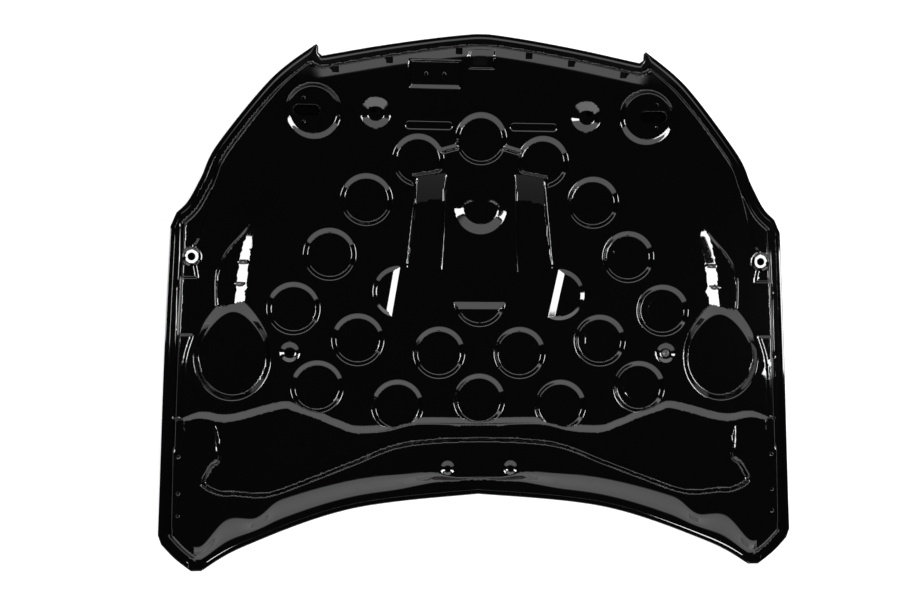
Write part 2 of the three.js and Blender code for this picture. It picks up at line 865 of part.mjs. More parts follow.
function panelPlan() {
  const plan = new PlanPoints(insetOutline(hemBend + panelEdgeRoom));
  const round = (centre, radii, count) =>
    radii.flatMap((radius) => (radius ? circlePoints(centre, radius, count) : [centre]));
  plan.addFold(insetRow(sideFlange, flangeSpacing), pointRoom, pointRoom);
  const ringFolds = (centre, radii) =>
    sides.forEach((s) => {
      const place = [s * centre[0], centre[1]];
      radii.forEach((radius) => plan.addFold(circlePoints(place, radius, cupSides), pointRoom));
    });
  for (const centre of cupCentres) {
    ringFolds(centre, [cupRadius, cupRadius - cupWall]);
    plan.add(bothSides([centre]), pointRoom);
  }
  for (const half of halfCups) plan.add(halfCupPoints(half), pointRoom);
  for (const s of sides) {
    const place = [s * hingeCentre[0], hingeCentre[1]];
    padLoops(place, hingePadHalf).forEach((loop) => plan.addFold(loop, fineRoom));
  }
  padLoops(catchCentre, catchPadHalf).forEach((loop) => plan.addFold(loop, fineRoom));
  ringFolds(strikerCentre, [strikerPadRadius - padWall, strikerPadRadius]);
  plan.add(bothSides(channelPoints()), pointRoom);
  plan.add(bothSides(bowlPoints()), pointRoom);
  plan.add(bothSides(round(coneCentre, [coneRadius, coneTopRadius], dishSides)), pointRoom);
  plan.add(round(domeCentre, [domeRadius, domeRadius * 0.6, 0], dishSides + 2), pointRoom);
  plan.add(bothSides(round(dimpleCentre, [dimpleRadius, dimpleRadius * dishWallShare], dishSides)), pointRoom);
  const rearBowlRings = [rearBowlRadius, rearBowlRadius * dishWallShare];
  plan.add(bothSides(round(rearBowlCentre, rearBowlRings, dishSides - 1)), fineRoom);
  plan.add(bothSides(round(seatCentre, [seatRadius, seatRadius * dishWallShare], dishSides)), pointRoom);
  padLoops(pocketCentre, pocketHalf).forEach((loop) => plan.add(loop, fineRoom));
  const recessWalls = [
    recessFrontLine,
    shifted(recessFrontLine, -recessFrontWall),
    recessRearLine,
    shifted(recessRearLine, -recessRearWall),
  ];
  for (const line of recessWalls) plan.add(bothSides(line), lineRoom);
  plan.add(bothSides(rearShoulderLine), lineRoom);
  plan.add(bothSides(rearLine.map(([x, y]) => [x, y + rearFlange])), lineRoom);
  plan.add(bothSides(frontLine.map(([x, y]) => [x, y - sideFlange - frontWall])), lineRoom);
  plan.add(bothSides(frontLine.map(([x, y]) => [x, y - frontBandInset])), lineRoom);
  plan.add(insetRow(sideFlange + sideWall, flangeSpacing), lineRoom);
  plan.add(bothSides(sideBandLine), lineRoom);
  plan.add(bothSides(shifted(sideBandLine, -stepWall)), pointRoom);
  plan.add(bothSides(neckInnerLine), pointRoom);
  plan.add(bothSides(neckInnerLine.map(([x, y]) => [x + neckInnerWall, y])), pointRoom);
  plan.add(bothSides(neckOuterLine), pointRoom);
  const beadLine = segment([beadCentre[0] - beadHalfLength, beadCentre[1]],
    [beadCentre[0] + beadHalfLength, beadCentre[1]], 4);
  const beadRows = [-beadRadius, 0, beadRadius].flatMap((across) => shifted(beadLine, across));
  plan.add(bothSides(beadRows), fineRoom);
  plan.fill(panelPitch, panelPitch / 2);
  return plan;
}

// Holes through the inner panel
function panelCutters() {
  const cuts = [];
  for (const x of clipHolesX) {
    const y = crossing(frontLine, Math.abs(x), 0) - clipInset;
    cuts.push(cutter(boxShape(clipHole[0] / 2, clipHole[1] / 2, clipCorner), x, y));
  }
  cuts.push(cutter(boxShape(...pocketHoleHalf, holeCorner), ...pocketHoleCentre));
  for (const s of sides) {
    cuts.push(cutter(roundShape(coneHoleRadius), s * (coneCentre[0] + coneHoleOffset[0]), coneCentre[1] + coneHoleOffset[1]));
    cuts.push(cutter(roundShape(seatHoleRadius), s * seatCentre[0], seatCentre[1]));
  }
  cuts.push(cutter(roundShape(plugHoleRadius), ...dimpleCentre));
  for (const fitting of fittings) {
    for (const hole of fitting.holes) {
      const shape = hole.shape();
      cuts.push(cutter(shape, fitting.pad.centre[0] + hole.x, fitting.pad.centre[1] + hole.y));
    }
  }
  return cuts;
}

// Fittings: each has a pad, a backing plate, its holes and the nuts welded under the plate

const boltHole = (x, y) => ({ x, y, bolt: true, shape: () => roundShape(boltHoleRadius) });
const strikerSlot = (sign) => ({
  x: sign * strikerSlotOffset,
  y: 0,
  shape: () => boxShape(strikerSlotLength / 2, strikerSlotWidth / 2, strikerSlotWidth / 2 - 1),
});

const strikerFitting = (sign, pad, name) => ({
  name: `striker_${name}`,
  pad,
  plate: () => roundShape(strikerPlateRadius),
  holes: [
    boltHole(sign * strikerBoltOffset, strikerBoltPitch / 2),
    boltHole(sign * strikerBoltOffset, -strikerBoltPitch / 2),
    strikerSlot(sign),
  ],
});
const hingeFitting = (sign, pad, name) => ({
  name: `hinge_${name}`,
  pad,
  plate: () => boxShape(...hingePlateHalf, plateCornerRadius),
  holes: hingeBoltY.map((y) => boltHole(sign * hingeBoltX, y)),
});
const fittings = [
  strikerFitting(-1, strikerPads[0], "left"),
  strikerFitting(1, strikerPads[1], "right"),
  hingeFitting(-1, hingePads[0], "left"),
  hingeFitting(1, hingePads[1], "right"),
  {
    name: "catch",
    pad: catchPad,
    plate: () => boxShape(...catchPlateHalf, plateCornerRadius),
    holes: [boltHole(-catchBoltPitch / 2, 0), boltHole(catchBoltPitch / 2, 0)],
  },
];

// Materials

const paint = () => new THREE.MeshStandardMaterial({ color: 0x050506, roughness: 0.12, metalness: 0 });
const coatedSteel = () => new THREE.MeshStandardMaterial({ color: 0x16171a, roughness: 0.35, metalness: 0.2 });
const zinc = () => new THREE.MeshStandardMaterial({ color: 0x9a9da0, roughness: 0.4, metalness: 1 });
const mastic = () => new THREE.MeshStandardMaterial({ color: 0x24221f, roughness: 0.9, metalness: 0 });
const rubber = () => new THREE.MeshStandardMaterial({ color: 0x0d0d0e, roughness: 0.6, metalness: 0 });

function named(name, geometry, material) {
  const mesh = new THREE.Mesh(geometry, material);
  mesh.name = name;
  return mesh;
}

// Pieces

function innerPanel() {
  const pressed = solid(sheet(panelPlan(), panelZ, panelThickness));
  const pierced = panelCutters().reduce((body, hole) => body.subtract(solid(hole)), pressed);
  return named("inner_panel", geometryFrom(pierced), paint());
}

// Where mastic joins the skin to the panel: the middle of each cup and half cup.
function masticSites() {
  const cups = cupCentres.flatMap(([x, y]) => (x ? [[x, y], [-x, y]] : [[x, y]]));
  const halves = halfCups.map(({ centre, a, b, wall }) => {
    const length = Math.hypot(b[0] - a[0], b[1] - a[1]);
    const away = [-(b[1] - a[1]) / length, (b[0] - a[0]) / length];
    const past = (centre[0] - a[0]) * away[0] + (centre[1] - a[1]) * away[1];
    const reach = (cupRadius - cupWall + wall + past) / 2 - past;
    return [centre[0] + away[0] * reach, centre[1] + away[1] * reach];
  });
  return [...cups, ...halves];
}

const masticRadiusAt = (i) => (i < masticSites().length - halfCups.length ? masticRadius : masticRadius / 2);

function masticPad(site, radius) {
  const [cx, cy] = site;
  const disc = new THREE.CylinderGeometry(radius, radius, 1, masticSides);
  disc.rotateX(Math.PI / 2).translate(cx, cy, 0);
  const place = disc.attributes.position;
  const low = skinThickness + seamClearance;
  const high = panelThickness / 2 + seamClearance;
  for (let i = 0; i < place.count; i++) {
    const [x, y] = [place.getX(i), place.getY(i)];
    place.setZ(i, place.getZ(i) < 0 ? skinZ(x, y) + low : panelZ(x, y) - high);
  }
  return disc;
}

// The skin: one sheet whose rim folds up and back over the flange of the inner panel.
function outerSkin() {
  const plan = new PlanPoints(insetOutline(hemBend));
  plan.addFold(insetRow(sideFlange, flangeSpacing), pointRoom, pointRoom);
  masticSites().forEach((site) => plan.add([site, ...circlePoints(site, masticRadius + 5, 6)], 2 * pointRoom));
  plan.add([[0, crownY]], 2 * pointRoom);
  plan.fill(skinPitch, skinPitch / 2);
  const triangles = planTriangles(plan);
  const stack = 2 * skinThickness + 2 * seamClearance + panelThickness;
  const positions = [];
  const lay = (points, lift) => {
    const start = positions.length;
    for (const [x, y] of points) positions.push([x, y, skinZ(x, y) + lift]);
    return start;
  };
  const outer = lay(plan.points, 0);
  const inner = lay(plan.points, skinThickness);
  const rim = rimEdges(triangles);
  const after = new Map(rim);
  const loop = [rim[0][0]];
  while (after.get(loop.at(-1)) !== loop[0]) loop.push(after.get(loop.at(-1)));
  const edge = loop.map((i) => plan.points[i]);
  const room = edge.map(([x, y], i) => {
    const a = edge.at(i - 1);
    const b = edge[(i + 1) % edge.length];
    const length = Math.hypot(b[0] - a[0], b[1] - a[1]);
    const inward = [-(b[1] - a[1]) / length, (b[0] - a[0]) / length];
    const fits = (d) => depthIn(outline, x + inward[0] * d, y + inward[1] * d) > (d + hemBend) * 0.9;
    let reach = hemWidth - hemBend;
    while (reach > 2 && !fits(reach)) reach -= 1;
    return { inward, reach };
  });
  const along = (share, extra) =>
    edge.map(([x, y], i) => {
      const d = room[i].reach * share + extra;
      return [x + room[i].inward[0] * d, y + room[i].inward[1] * d];
    });
  const bend = skinThickness * 0.9;
  const rings = [
    loop.map((i) => i + outer),
    lay(along(0, -hemBend), stack / 2),
    lay(along(0, 0), stack),
    lay(along(1, 0), stack),
    lay(along(1, 0), stack - skinThickness),
    lay(along(0, 0.2), stack - skinThickness),
    lay(along(0, bend - hemBend), stack / 2),
    loop.map((i) => i + inner),
  ].map((ring) => (Array.isArray(ring) ? ring : loop.map((_, k) => ring + k)));
  const faces = triangles.flatMap(([a, b, c]) => [
    [a + outer, c + outer, b + outer],
    [a + inner, b + inner, c + inner],
  ]);
  for (let r = 0; r + 1 < rings.length; r++) {
    loop.forEach((_, k) => {
      const next = (k + 1) % loop.length;
      const [a, b] = [rings[r][k], rings[r][next]];
      const [c, d] = [rings[r + 1][k], rings[r + 1][next]];
      faces.push([a, b, d], [a, d, c]);
    });
  }
  return named("outer_skin", geometryOf(positions, faces), paint());
}

// A group that stands on a pad, its z axis square to the pad.
function padFrame(pad) {
  const frame = new THREE.Group();
  frame.position.set(pad.centre[0], pad.centre[1], pad.z);
  const normal = new THREE.Vector3(-pad.slopeX, -pad.slopeY, 1).normalize();
  frame.quaternion.setFromUnitVectors(new THREE.Vector3(0, 0, 1), normal);
  return frame;
}

function plateWithNuts(fitting) {
  const { pad, holes, name } = fitting;
  const frame = padFrame(pad);
  const outlineShape = fitting.plate();
  for (const hole of holes) {
    const path = new THREE.Path(hole.shape().getPoints(5).map((p) => p.add(new THREE.Vector2(hole.x, hole.y))));
    outlineShape.holes.push(path);
  }
  const plate = new THREE.ExtrudeGeometry(outlineShape, {
    depth: plateThickness,
    bevelEnabled: false,
    curveSegments: 7,
  });
  const plateTop = -panelThickness / 2 - seamClearance;
  plate.translate(0, 0, plateTop - plateThickness);
  frame.add(named(`${name}_reinforcement`, plate, coatedSteel()));
  const bolts = holes.filter((hole) => hole.bolt);
  bolts.forEach((hole, i) => {
    const nut = weldNut();
    nut.translate(hole.x, hole.y, plateTop - plateThickness - seamClearance - nutHeight);
    frame.add(named(`${name}_weld_nut_${i + 1}`, nut, zinc()));
  });
  return frame;
}

function weldNut() {
  const corner = nutAcrossFlats / Math.sqrt(3);
  const hexagon = new THREE.Shape(circlePoints([0, 0], corner, 6).map(([x, y]) => new THREE.Vector2(x, y)));
  hexagon.holes.push(new THREE.Path().absarc(0, 0, nutHoleRadius, 0, 2 * Math.PI, true));
  return new THREE.ExtrudeGeometry(hexagon, { depth: nutHeight, bevelEnabled: false, curveSegments: 3 });
}

// Push-in plug: a flat head over the hole and a tapered stem through it.
function dimplePlug() {
  const hole = plugHoleRadius - 2 * seamClearance;
  const head = panelThickness / 2 + seamClearance;
  const profile = [
    [0, -plugStem],
    [hole - 1.5, -plugStem],
    [hole, 0],
    [hole, head],
    [plugRadius, head],
    [plugRadius - 1, head + plugFlange],
    [0, head + plugFlange],
  ];
  const plug = new THREE.LatheGeometry(profile.map(([x, y]) => new THREE.Vector2(x, y)), 14);
  plug.rotateX(Math.PI / 2);
  const seat = flatPad(dimpleCentre, 0, () => 0);
  const frame = padFrame(seat);
  frame.add(named("dimple_plug", plug, rubber()));
  return frame;
}

const bonnet = new THREE.Group();
bonnet.name = "bonnet";
bonnet.add(outerSkin());
bonnet.add(innerPanel());
fittings.forEach((fitting) => bonnet.add(plateWithNuts(fitting)));
masticSites().forEach((site, i) => {
  bonnet.add(named(`mastic_pad_${i + 1}`, masticPad(site, masticRadiusAt(i)), mastic()));
});
bonnet.add(dimplePlug());
bonnet.position.y = -(noseY + tailY) / 2;

export default bonnet;
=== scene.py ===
# %% [markdown]
# A car bonnet lies on its painted outer skin, so what we see is its pressed inner panel. The packed
# model is the frame: it fixes every size and place. Here we only give each piece its fine surface.

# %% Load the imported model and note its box
import math
import bpy
import numpy as np
from mathutils import Matrix, Vector
from mathutils.geometry import delaunay_2d_cdt


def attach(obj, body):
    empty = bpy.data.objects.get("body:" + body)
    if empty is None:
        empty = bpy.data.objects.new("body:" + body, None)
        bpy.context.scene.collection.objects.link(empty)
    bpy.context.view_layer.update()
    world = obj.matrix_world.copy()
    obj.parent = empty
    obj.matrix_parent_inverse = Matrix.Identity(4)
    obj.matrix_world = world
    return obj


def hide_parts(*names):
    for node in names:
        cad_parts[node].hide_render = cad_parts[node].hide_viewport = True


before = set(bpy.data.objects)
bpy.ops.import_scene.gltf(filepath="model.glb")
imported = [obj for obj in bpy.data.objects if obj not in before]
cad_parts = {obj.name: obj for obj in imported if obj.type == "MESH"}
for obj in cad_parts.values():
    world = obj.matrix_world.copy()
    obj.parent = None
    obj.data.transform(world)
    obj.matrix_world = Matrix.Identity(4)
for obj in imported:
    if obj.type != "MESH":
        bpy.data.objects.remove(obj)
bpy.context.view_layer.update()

MM = 0.001
ORIGIN_Y = -2.0

# %% [markdown]
# The shape of a pressing is easiest to write as a height over its plan, in millimetres, because a
# press tool can't undercut. We start with the plan: smooth curves through a few points.

# %% Plan curves
CURVE_STEPS = 40


def spline(points, spacing=8.0):
    """Points at an even spacing on the smooth curve through a few given ones."""
    given = np.array(points, float)
    padded = np.vstack([given[:1], given, given[-1:]])
    pieces = []
    for a, b, c, d in zip(padded, padded[1:], padded[2:], padded[3:]):
        t = np.linspace(0, 1, CURVE_STEPS, endpoint=False)[:, None]
        start, end = (c - a) / 2, (d - b) / 2
        cubic, square = 2 * b - 2 * c + start + end, 3 * c - 3 * b - 2 * start - end
        pieces.append(cubic * t**3 + square * t**2 + start * t + b)
    curve = np.vstack([*pieces, given[-1:]])
    reach = np.concatenate([[0], np.cumsum(np.hypot(*np.diff(curve, axis=0).T))])
    at = np.linspace(0, reach[-1], max(2, round(reach[-1] / spacing)) + 1)
    return np.column_stack([np.interp(at, reach, curve[:, i]) for i in (0, 1)])


NOSE_Y, TAIL_Y, REAR_MID_Y = 622, -618, -454
EAR_X, EAR_FOOT_Y, EAR_TIP_Y = 379, 563, 591
FLANK = (606, 357)
SHOULDER = (705, 190)
REAR = (730, -530)
TAIL_X = 649

FRONT_EDGE = spline([
    (0, NOSE_Y), (EAR_X * 0.08, NOSE_Y - 1.5), (EAR_X * 0.32, NOSE_Y - 13), (EAR_X * 0.64, NOSE_Y - 33),
    (EAR_X - 8, EAR_FOOT_Y)])
FLANK_EDGE = spline([
    (EAR_X + 6, EAR_TIP_Y - 3), (EAR_X + 109, (EAR_TIP_Y + FLANK[1]) / 2 + 32), FLANK,
    (FLANK[0] + 37, FLANK[1] - 78), (SHOULDER[0] - 34, SHOULDER[1] + 35),
    (SHOULDER[0] - 9, SHOULDER[1] + 8)])
SIDE_EDGE = spline([
    (SHOULDER[0] + 4, SHOULDER[1] - 24),
    ((SHOULDER[0] + REAR[0]) / 2 + 4, (SHOULDER[1] + REAR[1]) / 2 + 20), REAR])
CORNER_EDGE = spline([
    (REAR[0] - 2, REAR[1] - 15), ((REAR[0] + TAIL_X) / 2 + 5, (REAR[1] + TAIL_Y) / 2 - 9),
    (TAIL_X + 9, TAIL_Y + 4)])
REAR_EDGE = spline([
    (TAIL_X - 14, TAIL_Y + 3), (TAIL_X * 0.83, REAR_MID_Y + (TAIL_Y - REAR_MID_Y) * 0.665),
    (TAIL_X * 0.46, REAR_MID_Y + (TAIL_Y - REAR_MID_Y) * 0.19), (0, REAR_MID_Y)])
HALF_OUTLINE = np.vstack([
    FRONT_EDGE, [(EAR_X, EAR_FOOT_Y + 6), (EAR_X, EAR_FOOT_Y + 20), (EAR_X + 1, EAR_TIP_Y)], FLANK_EDGE,
    [(SHOULDER[0] + 2, SHOULDER[1] - 6)], SIDE_EDGE, CORNER_EDGE, [(TAIL_X, TAIL_Y)], REAR_EDGE])
OUTLINE = np.vstack([HALF_OUTLINE, (HALF_OUTLINE * (-1, 1))[-2:0:-1]])[::-1]
print("outline points", len(OUTLINE))


# %% Distances in the plan
BATCH = 20000


def distance(x, y, line, closed=False):
    """Distance from each point to a line of points."""
    a = line if closed else line[:-1]
    b = np.roll(line, -1, axis=0) if closed else line[1:]
    along = b - a
    length = (along**2).sum(1)
    least = np.empty(len(x))
    for i in range(0, len(x), BATCH):
        dx = x[i:i + BATCH, None] - a[:, 0]
        dy = y[i:i + BATCH, None] - a[:, 1]
        t = np.clip((dx * along[:, 0] + dy * along[:, 1]) / length, 0, 1)
        least[i:i + BATCH] = np.hypot(dx - t * along[:, 0], dy - t * along[:, 1]).min(1)
    return least


def inside(x, y, loop):
    """Whether each point lies inside a closed loop."""
    result = np.zeros(len(x), bool)
    for (ax, ay), (bx, by) in zip(loop, np.roll(loop, 1, axis=0)):
        if ay != by:
            result ^= ((ay > y) != (by > y)) & (x < (bx - ax) * (y - ay) / (by - ay) + ax)
    return result


def between(value, low, high):
    return (value > low) & (value < high)


def read_off(line, value, axis=0):
    """The other ordinate of a line where it crosses a value of x (axis 0) or y (axis 1)."""
    order = np.argsort(line[:, axis])
    return np.interp(value, line[order, axis], line[order, 1 - axis])


# %% [markdown]
# Each wall of a pressing climbs from a rounded foot to a rounded rim. One profile, from 0 to 1, serves
# them all: the share of the wall that is rounded decides how wide a highlight it catches.

# %% The wall profile
def climb(t, rounded=0.34):
    """Height of a wall as a share: 0 at its foot and 1 at its rim, with both ends rounded."""
    t = np.clip(t, 0, 1)
    k = 0.5 / (rounded * (1 - rounded))
    middle = (t - rounded / 2) / (1 - rounded)
    return np.where(t < rounded, k * t * t, np.where(t > 1 - rounded, 1 - k * (1 - t) ** 2, middle))


# %% [markdown]
# The outer skin is a shallow dish here: its sides, nose and tail stand above its middle.

# %% Height of the skin
CROWN_Y = -40
SIDE_RISE, SIDE_POWER = 70, 2.3
NOSE_RISE, NOSE_POWER = 62, 4.5
TAIL_RISE, TAIL_POWER = 20, 2
NOSE_SLOPE_Y = 530
NOSE_REACH = NOSE_Y - CROWN_Y
NOSE_SHARE = (NOSE_SLOPE_Y - CROWN_Y) / NOSE_REACH
NOSE_SLOPE = NOSE_RISE * NOSE_POWER / NOSE_REACH * NOSE_SHARE ** (NOSE_POWER - 1)


def skin_height(x, y):
    """Height of the skin: it curves up on all sides and runs straight on near the nose."""
    side = SIDE_RISE * (np.abs(x) / REAR[0]) ** SIDE_POWER
    curved = np.clip(y, CROWN_Y, NOSE_SLOPE_Y) - CROWN_Y
    nose = NOSE_RISE * (curved / NOSE_REACH) ** NOSE_POWER + NOSE_SLOPE * np.maximum(0, y - NOSE_SLOPE_Y)
    tail = TAIL_RISE * (np.maximum(0, CROWN_Y - y) / (CROWN_Y - TAIL_Y)) ** TAIL_POWER
    return side + nose + tail


nose_rim = skin_height(np.zeros(1), np.array([NOSE_Y]))[0]
print("rim of the skin at the nose", round(float(nose_rim), 1), "mm up")

# %% [markdown]
# The inner panel is one draw with many forms in it. We give each form its own short function: how far
# it sinks below the land of the panel, or stands above it.

# %% Sheets, land and perimeter wall
SHEET = 0.8
SEAM = 0.4
HEM_WIDTH, HEM_BEND = 11, 2
FLANGE_LIFT = SHEET + SEAM + SHEET / 2
LAND_LIFT, FRONT_LIFT = 24, 9
FRONT_BAND = (27, 50)
FRONT_BAND_FALL, FRONT_BLEND = 3.5, 120
FRONT_BAND_END, FRONT_BAND_TAPER = 398, 45
SIDE_FLANGE, SIDE_WALL = 22, 14
REAR_FLANGE, FRONT_WALL = 24, 8
MIDDLE_FLANGE, MIDDLE_REACH, MIDDLE_BLEND = 12, 220, 150
SIDE_BAND_DROP, STEP_WALL = 6, 10
SIDE_BAND_GAP = dict(front=47, rear=-76, wall=7)

SIDE_BAND_LINE = spline([
    (FLANK[0] - 40, FLANK[1] + 16), (FLANK[0] - 15, FLANK[1] - 34), (SHOULDER[0] - 71, SHOULDER[1] - 33),
    (SHOULDER[0] - 53, SHOULDER[1] - 80), (SHOULDER[0] - 62, SHOULDER[1] - 149),
    (SHOULDER[0] - 56, SHOULDER[1] - 250), (SHOULDER[0] - 36, SHOULDER[1] - 330),
    (SHOULDER[0] - 30, SHOULDER[1] - 460)])


def from_rear_middle(*points):
    """Plan points given by their distance ahead of the middle of the rear edge."""
    return [(x, REAR_MID_Y + y) for x, y in points]


REAR_SHOULDER_LINE = spline([
    *from_rear_middle((0, 43), (55, 43), (98, 54), (125, 56), (251, 49), (347, 32), (440, 8), (471, -5),
                      (515, -41), (578, -38)), (TAIL_X - 17, TAIL_Y + 66), (TAIL_X + 15, TAIL_Y + 72)])


def perimeter(x, y, inset):
    """How far the panel has climbed off its flange: 0 on the flange, 1 on the land."""
    foot = read_off(REAR_EDGE, x) + REAR_FLANGE + MIDDLE_FLANGE * climb((MIDDLE_REACH - x) / MIDDLE_BLEND)
    top = read_off(REAR_SHOULDER_LINE, x)
    rear = np.where(x < TAIL_X, climb((y - foot) / (top - foot)), 1)
    to_flank = np.where(y > 0, climb((x - EAR_X) / (FLANK[0] - EAR_X)), 1)
    wall = FRONT_WALL + (SIDE_WALL - FRONT_WALL) * to_flank
    return np.minimum(rear, climb((inset - SIDE_FLANGE) / wall))


# %% Channels
CHANNEL = dict(outer_top=(152, 291), inner_top=(78, 304), outer_end=(175, 64), inner_end=(89, 67))
CHANNEL_DEPTH, CHANNEL_WALL, CHANNEL_RAMP = 12, 8, 62
CHANNEL_TOP_WALL = 9


def channel_top(x):
    """The line at which a channel starts to fall away."""
    return read_off(np.array([CHANNEL["inner_top"], CHANNEL["outer_top"]], float), x)


# %% Cups, half cups and links
CUP_RADIUS, CUP_WALL, CUP_DEPTH, CUP_ROUNDED = 62, 12.5, 8.5, 0.22
CUP_CENTRES = [(0, 381), (147, 329), (267, 235), (351, 107), (433, -19), (285, -91), (95, -121),
               (378, -200), (192, -245), (0, -231)]
CUP_RING, CUP_RING_WALL, CUP_RING_DEPTH = 38, 8, 0.9
HALF_CUPS = [
    dict(centre=(0, 1), a=(61, 0), b=(-61, 0), wall=19, depth=8.5),
    dict(centre=(-191, 21), a=(-204, -31), b=(-187, 70), wall=17.5, depth=5.5),
    dict(centre=(188, 17), a=(182, 66), b=(160, -35), wall=20, depth=5.5)]
HALF_CUP_ROUNDED = 0.15
LINK = ((50, 363), (102, 348))
LINK_HALF, LINK_DEPTH = 9, 5
CHANNEL_BESIDE = (4, 6)
CHANNEL_THIN_WALL = 0.35


def cup_hollow(x, y):
    """Round cups with an inner ring, cut short where a channel starts beside them."""
    radius = np.min([np.hypot(x - cx, y - cy) for cx, cy in CUP_CENTRES], axis=0)
    ring = CUP_RING_DEPTH * climb((CUP_RING - radius) / CUP_RING_WALL)
    wall = climb((CUP_RADIUS - radius) / CUP_WALL, CUP_ROUNDED)
    low, high = CHANNEL["inner_top"][0] - CHANNEL_BESIDE[0], CHANNEL["outer_top"][0] + CHANNEL_BESIDE[1]
    beside = between(x, low, high) & (y > CHANNEL["outer_end"][1])
    cut = np.where(beside, climb((y - channel_top(x)) / CHANNEL_TOP_WALL), 1)
    return (CUP_DEPTH * wall + ring) * cut


def half_cup_place(half, x, y):
    """How far a point is past the straight wall of a half cup, and how far from its centre."""
    (ax, ay), (bx, by), (cx, cy) = half["a"], half["b"], half["centre"]
    past = ((bx - ax) * (y - ay) - (by - ay) * (x - ax)) / math.hypot(bx - ax, by - ay)
    return past, np.hypot(x - cx, y - cy)


def half_cup_hollow(x, y):
    deepest = np.zeros(len(x))
    for half in HALF_CUPS:
        past, radius = half_cup_place(half, x, y)
        arc = climb((CUP_RADIUS - radius) / CUP_WALL, CUP_ROUNDED)
        shape = np.minimum(arc, climb(past / half["wall"], HALF_CUP_ROUNDED))
        deepest = np.maximum(deepest, half["depth"] * shape)
    return deepest


def link_hollow(x, y):
    off = distance(x, y, np.array(LINK, float))
    return LINK_DEPTH * climb((LINK_HALF - off) / LINK_HALF)


def channel_hollow(x, y):
    inner = read_off(np.array([CHANNEL["inner_top"], CHANNEL["inner_end"]], float), y, 1)
    outer = read_off(np.array([CHANNEL["outer_top"], CHANNEL["outer_end"]], float), y, 1)
    fall = (channel_top(x) - y) / CHANNEL_RAMP
    end_y = CHANNEL["outer_end"][1]
    fade = (y - end_y) / (CHANNEL["outer_top"][1] - CHANNEL_RAMP - end_y)
    share = np.clip(np.minimum(fall, fade), 0, 1)
    wall = CHANNEL_WALL * (CHANNEL_THIN_WALL + (1 - CHANNEL_THIN_WALL) * share)
    return CHANNEL_DEPTH * share * climb(np.minimum(x - inner, outer - x) / wall)


# %% Spoon-shaped hollows: a neck that runs into a bowl
BOWL = dict(centre=(569, -128), half_width=87, front=141, rear=103, wall=13, front_wall=30, depth=15,
            taper=0.38, rounded=0.22)
NECK_FRONT_Y, NECK_LENGTH, NECK_RAMP, NECK_DEPTH = 188, 202, 120, 7
NECK_INNER_WALL, NECK_OUTER_WALL, NECK_ROUNDED = 26, 8, 0.12
NECK_INNER = np.array([
    (524, NECK_FRONT_Y), (517, NECK_FRONT_Y - 28), (531, NECK_FRONT_Y - 94),
    (542, NECK_FRONT_Y - 200)], float)
NECK_OUTER = spline([
    (526, NECK_FRONT_Y), (552, NECK_FRONT_Y - 36), (582, NECK_FRONT_Y - 71), (600, NECK_FRONT_Y - 102),
    (609, NECK_FRONT_Y - 136), (609, NECK_FRONT_Y - 200)])
LENS_BEADS = [(547, 87), (555, 37)]
LENS_HALF, LENS_HEIGHT = (17, 5), 3


def bowl_share(x, y):
    """0 in the middle of a bowl and 1 on its rim, which is an egg, narrower to the front."""
    cx, cy = BOWL["centre"]
    reach = np.where(y > cy, BOWL["front"], BOWL["rear"])
    narrower = 1 - BOWL["taper"] * np.clip((y - cy) / BOWL["front"], 0, 1) ** 2
    return np.hypot((x - cx) / (BOWL["half_width"] * narrower), (y - cy) / reach)


def bowl_hollow(x, y):
    cy = BOWL["centre"][1]
    share = bowl_share(x, y)
    forward = climb((y - cy) / BOWL["front"])
    wall = BOWL["wall"] + (BOWL["front_wall"] - BOWL["wall"]) * forward
    return BOWL["depth"] * climb((1 - share) * BOWL["half_width"] / wall, BOWL["rounded"])


def neck_hollow(x, y):
    inner = climb((x - read_off(NECK_INNER, y, 1)) / NECK_INNER_WALL, NECK_ROUNDED)
    outer = climb((read_off(NECK_OUTER, y, 1) - x) / NECK_OUTER_WALL)
    along = 1 - np.clip(1 - (NECK_FRONT_Y - y) / NECK_RAMP, 0, 1) ** 2
    depth = NECK_DEPTH * along * np.minimum(inner, outer)
    return np.where(y > NECK_FRONT_Y - NECK_LENGTH, depth, 0)


def lens_rise(x, y):
    rise = np.zeros(len(x))
    for cx, cy in LENS_BEADS:
        off = np.hypot((x - cx) / LENS_HALF[0], (y - cy) / LENS_HALF[1])
        rise += LENS_HEIGHT * climb(1 - off)
    return rise


# %% Rear recess
RECESS_DEPTH, RECESS_FRONT_WALL, RECESS_REAR_WALL, RECESS_ROUNDED = 12, 19, 11, 0.16
RECESS_FRONT = spline(from_rear_middle(
    (0, 180), (110, 183), (161, 181), (215, 168), (255, 164), (293, 165), (319, 175), (345, 185),
    (368, 196), (423, 215), (450, 223), (500, 213), (555, 198), (590, 194), (620, 200), (645, 200),
    (676, 189)))
RECESS_REAR = spline(from_rear_middle(
    (672, 147), (650, 131), (608, 108), (624, 72), (638, 36), (601, 11), (560, 7), (485, 3), (385, 36),
    (289, 72), (198, 107), (119, 119), (0, 124)))
RECESS_SOFT = dict(x=590, y=REAR_MID_Y + 75, blend=20, wall=60)
HALF_RECESS = np.vstack([RECESS_FRONT, RECESS_REAR])
RECESS_LOOP = np.vstack([HALF_RECESS, (HALF_RECESS * (-1, 1))[-2:0:-1]])


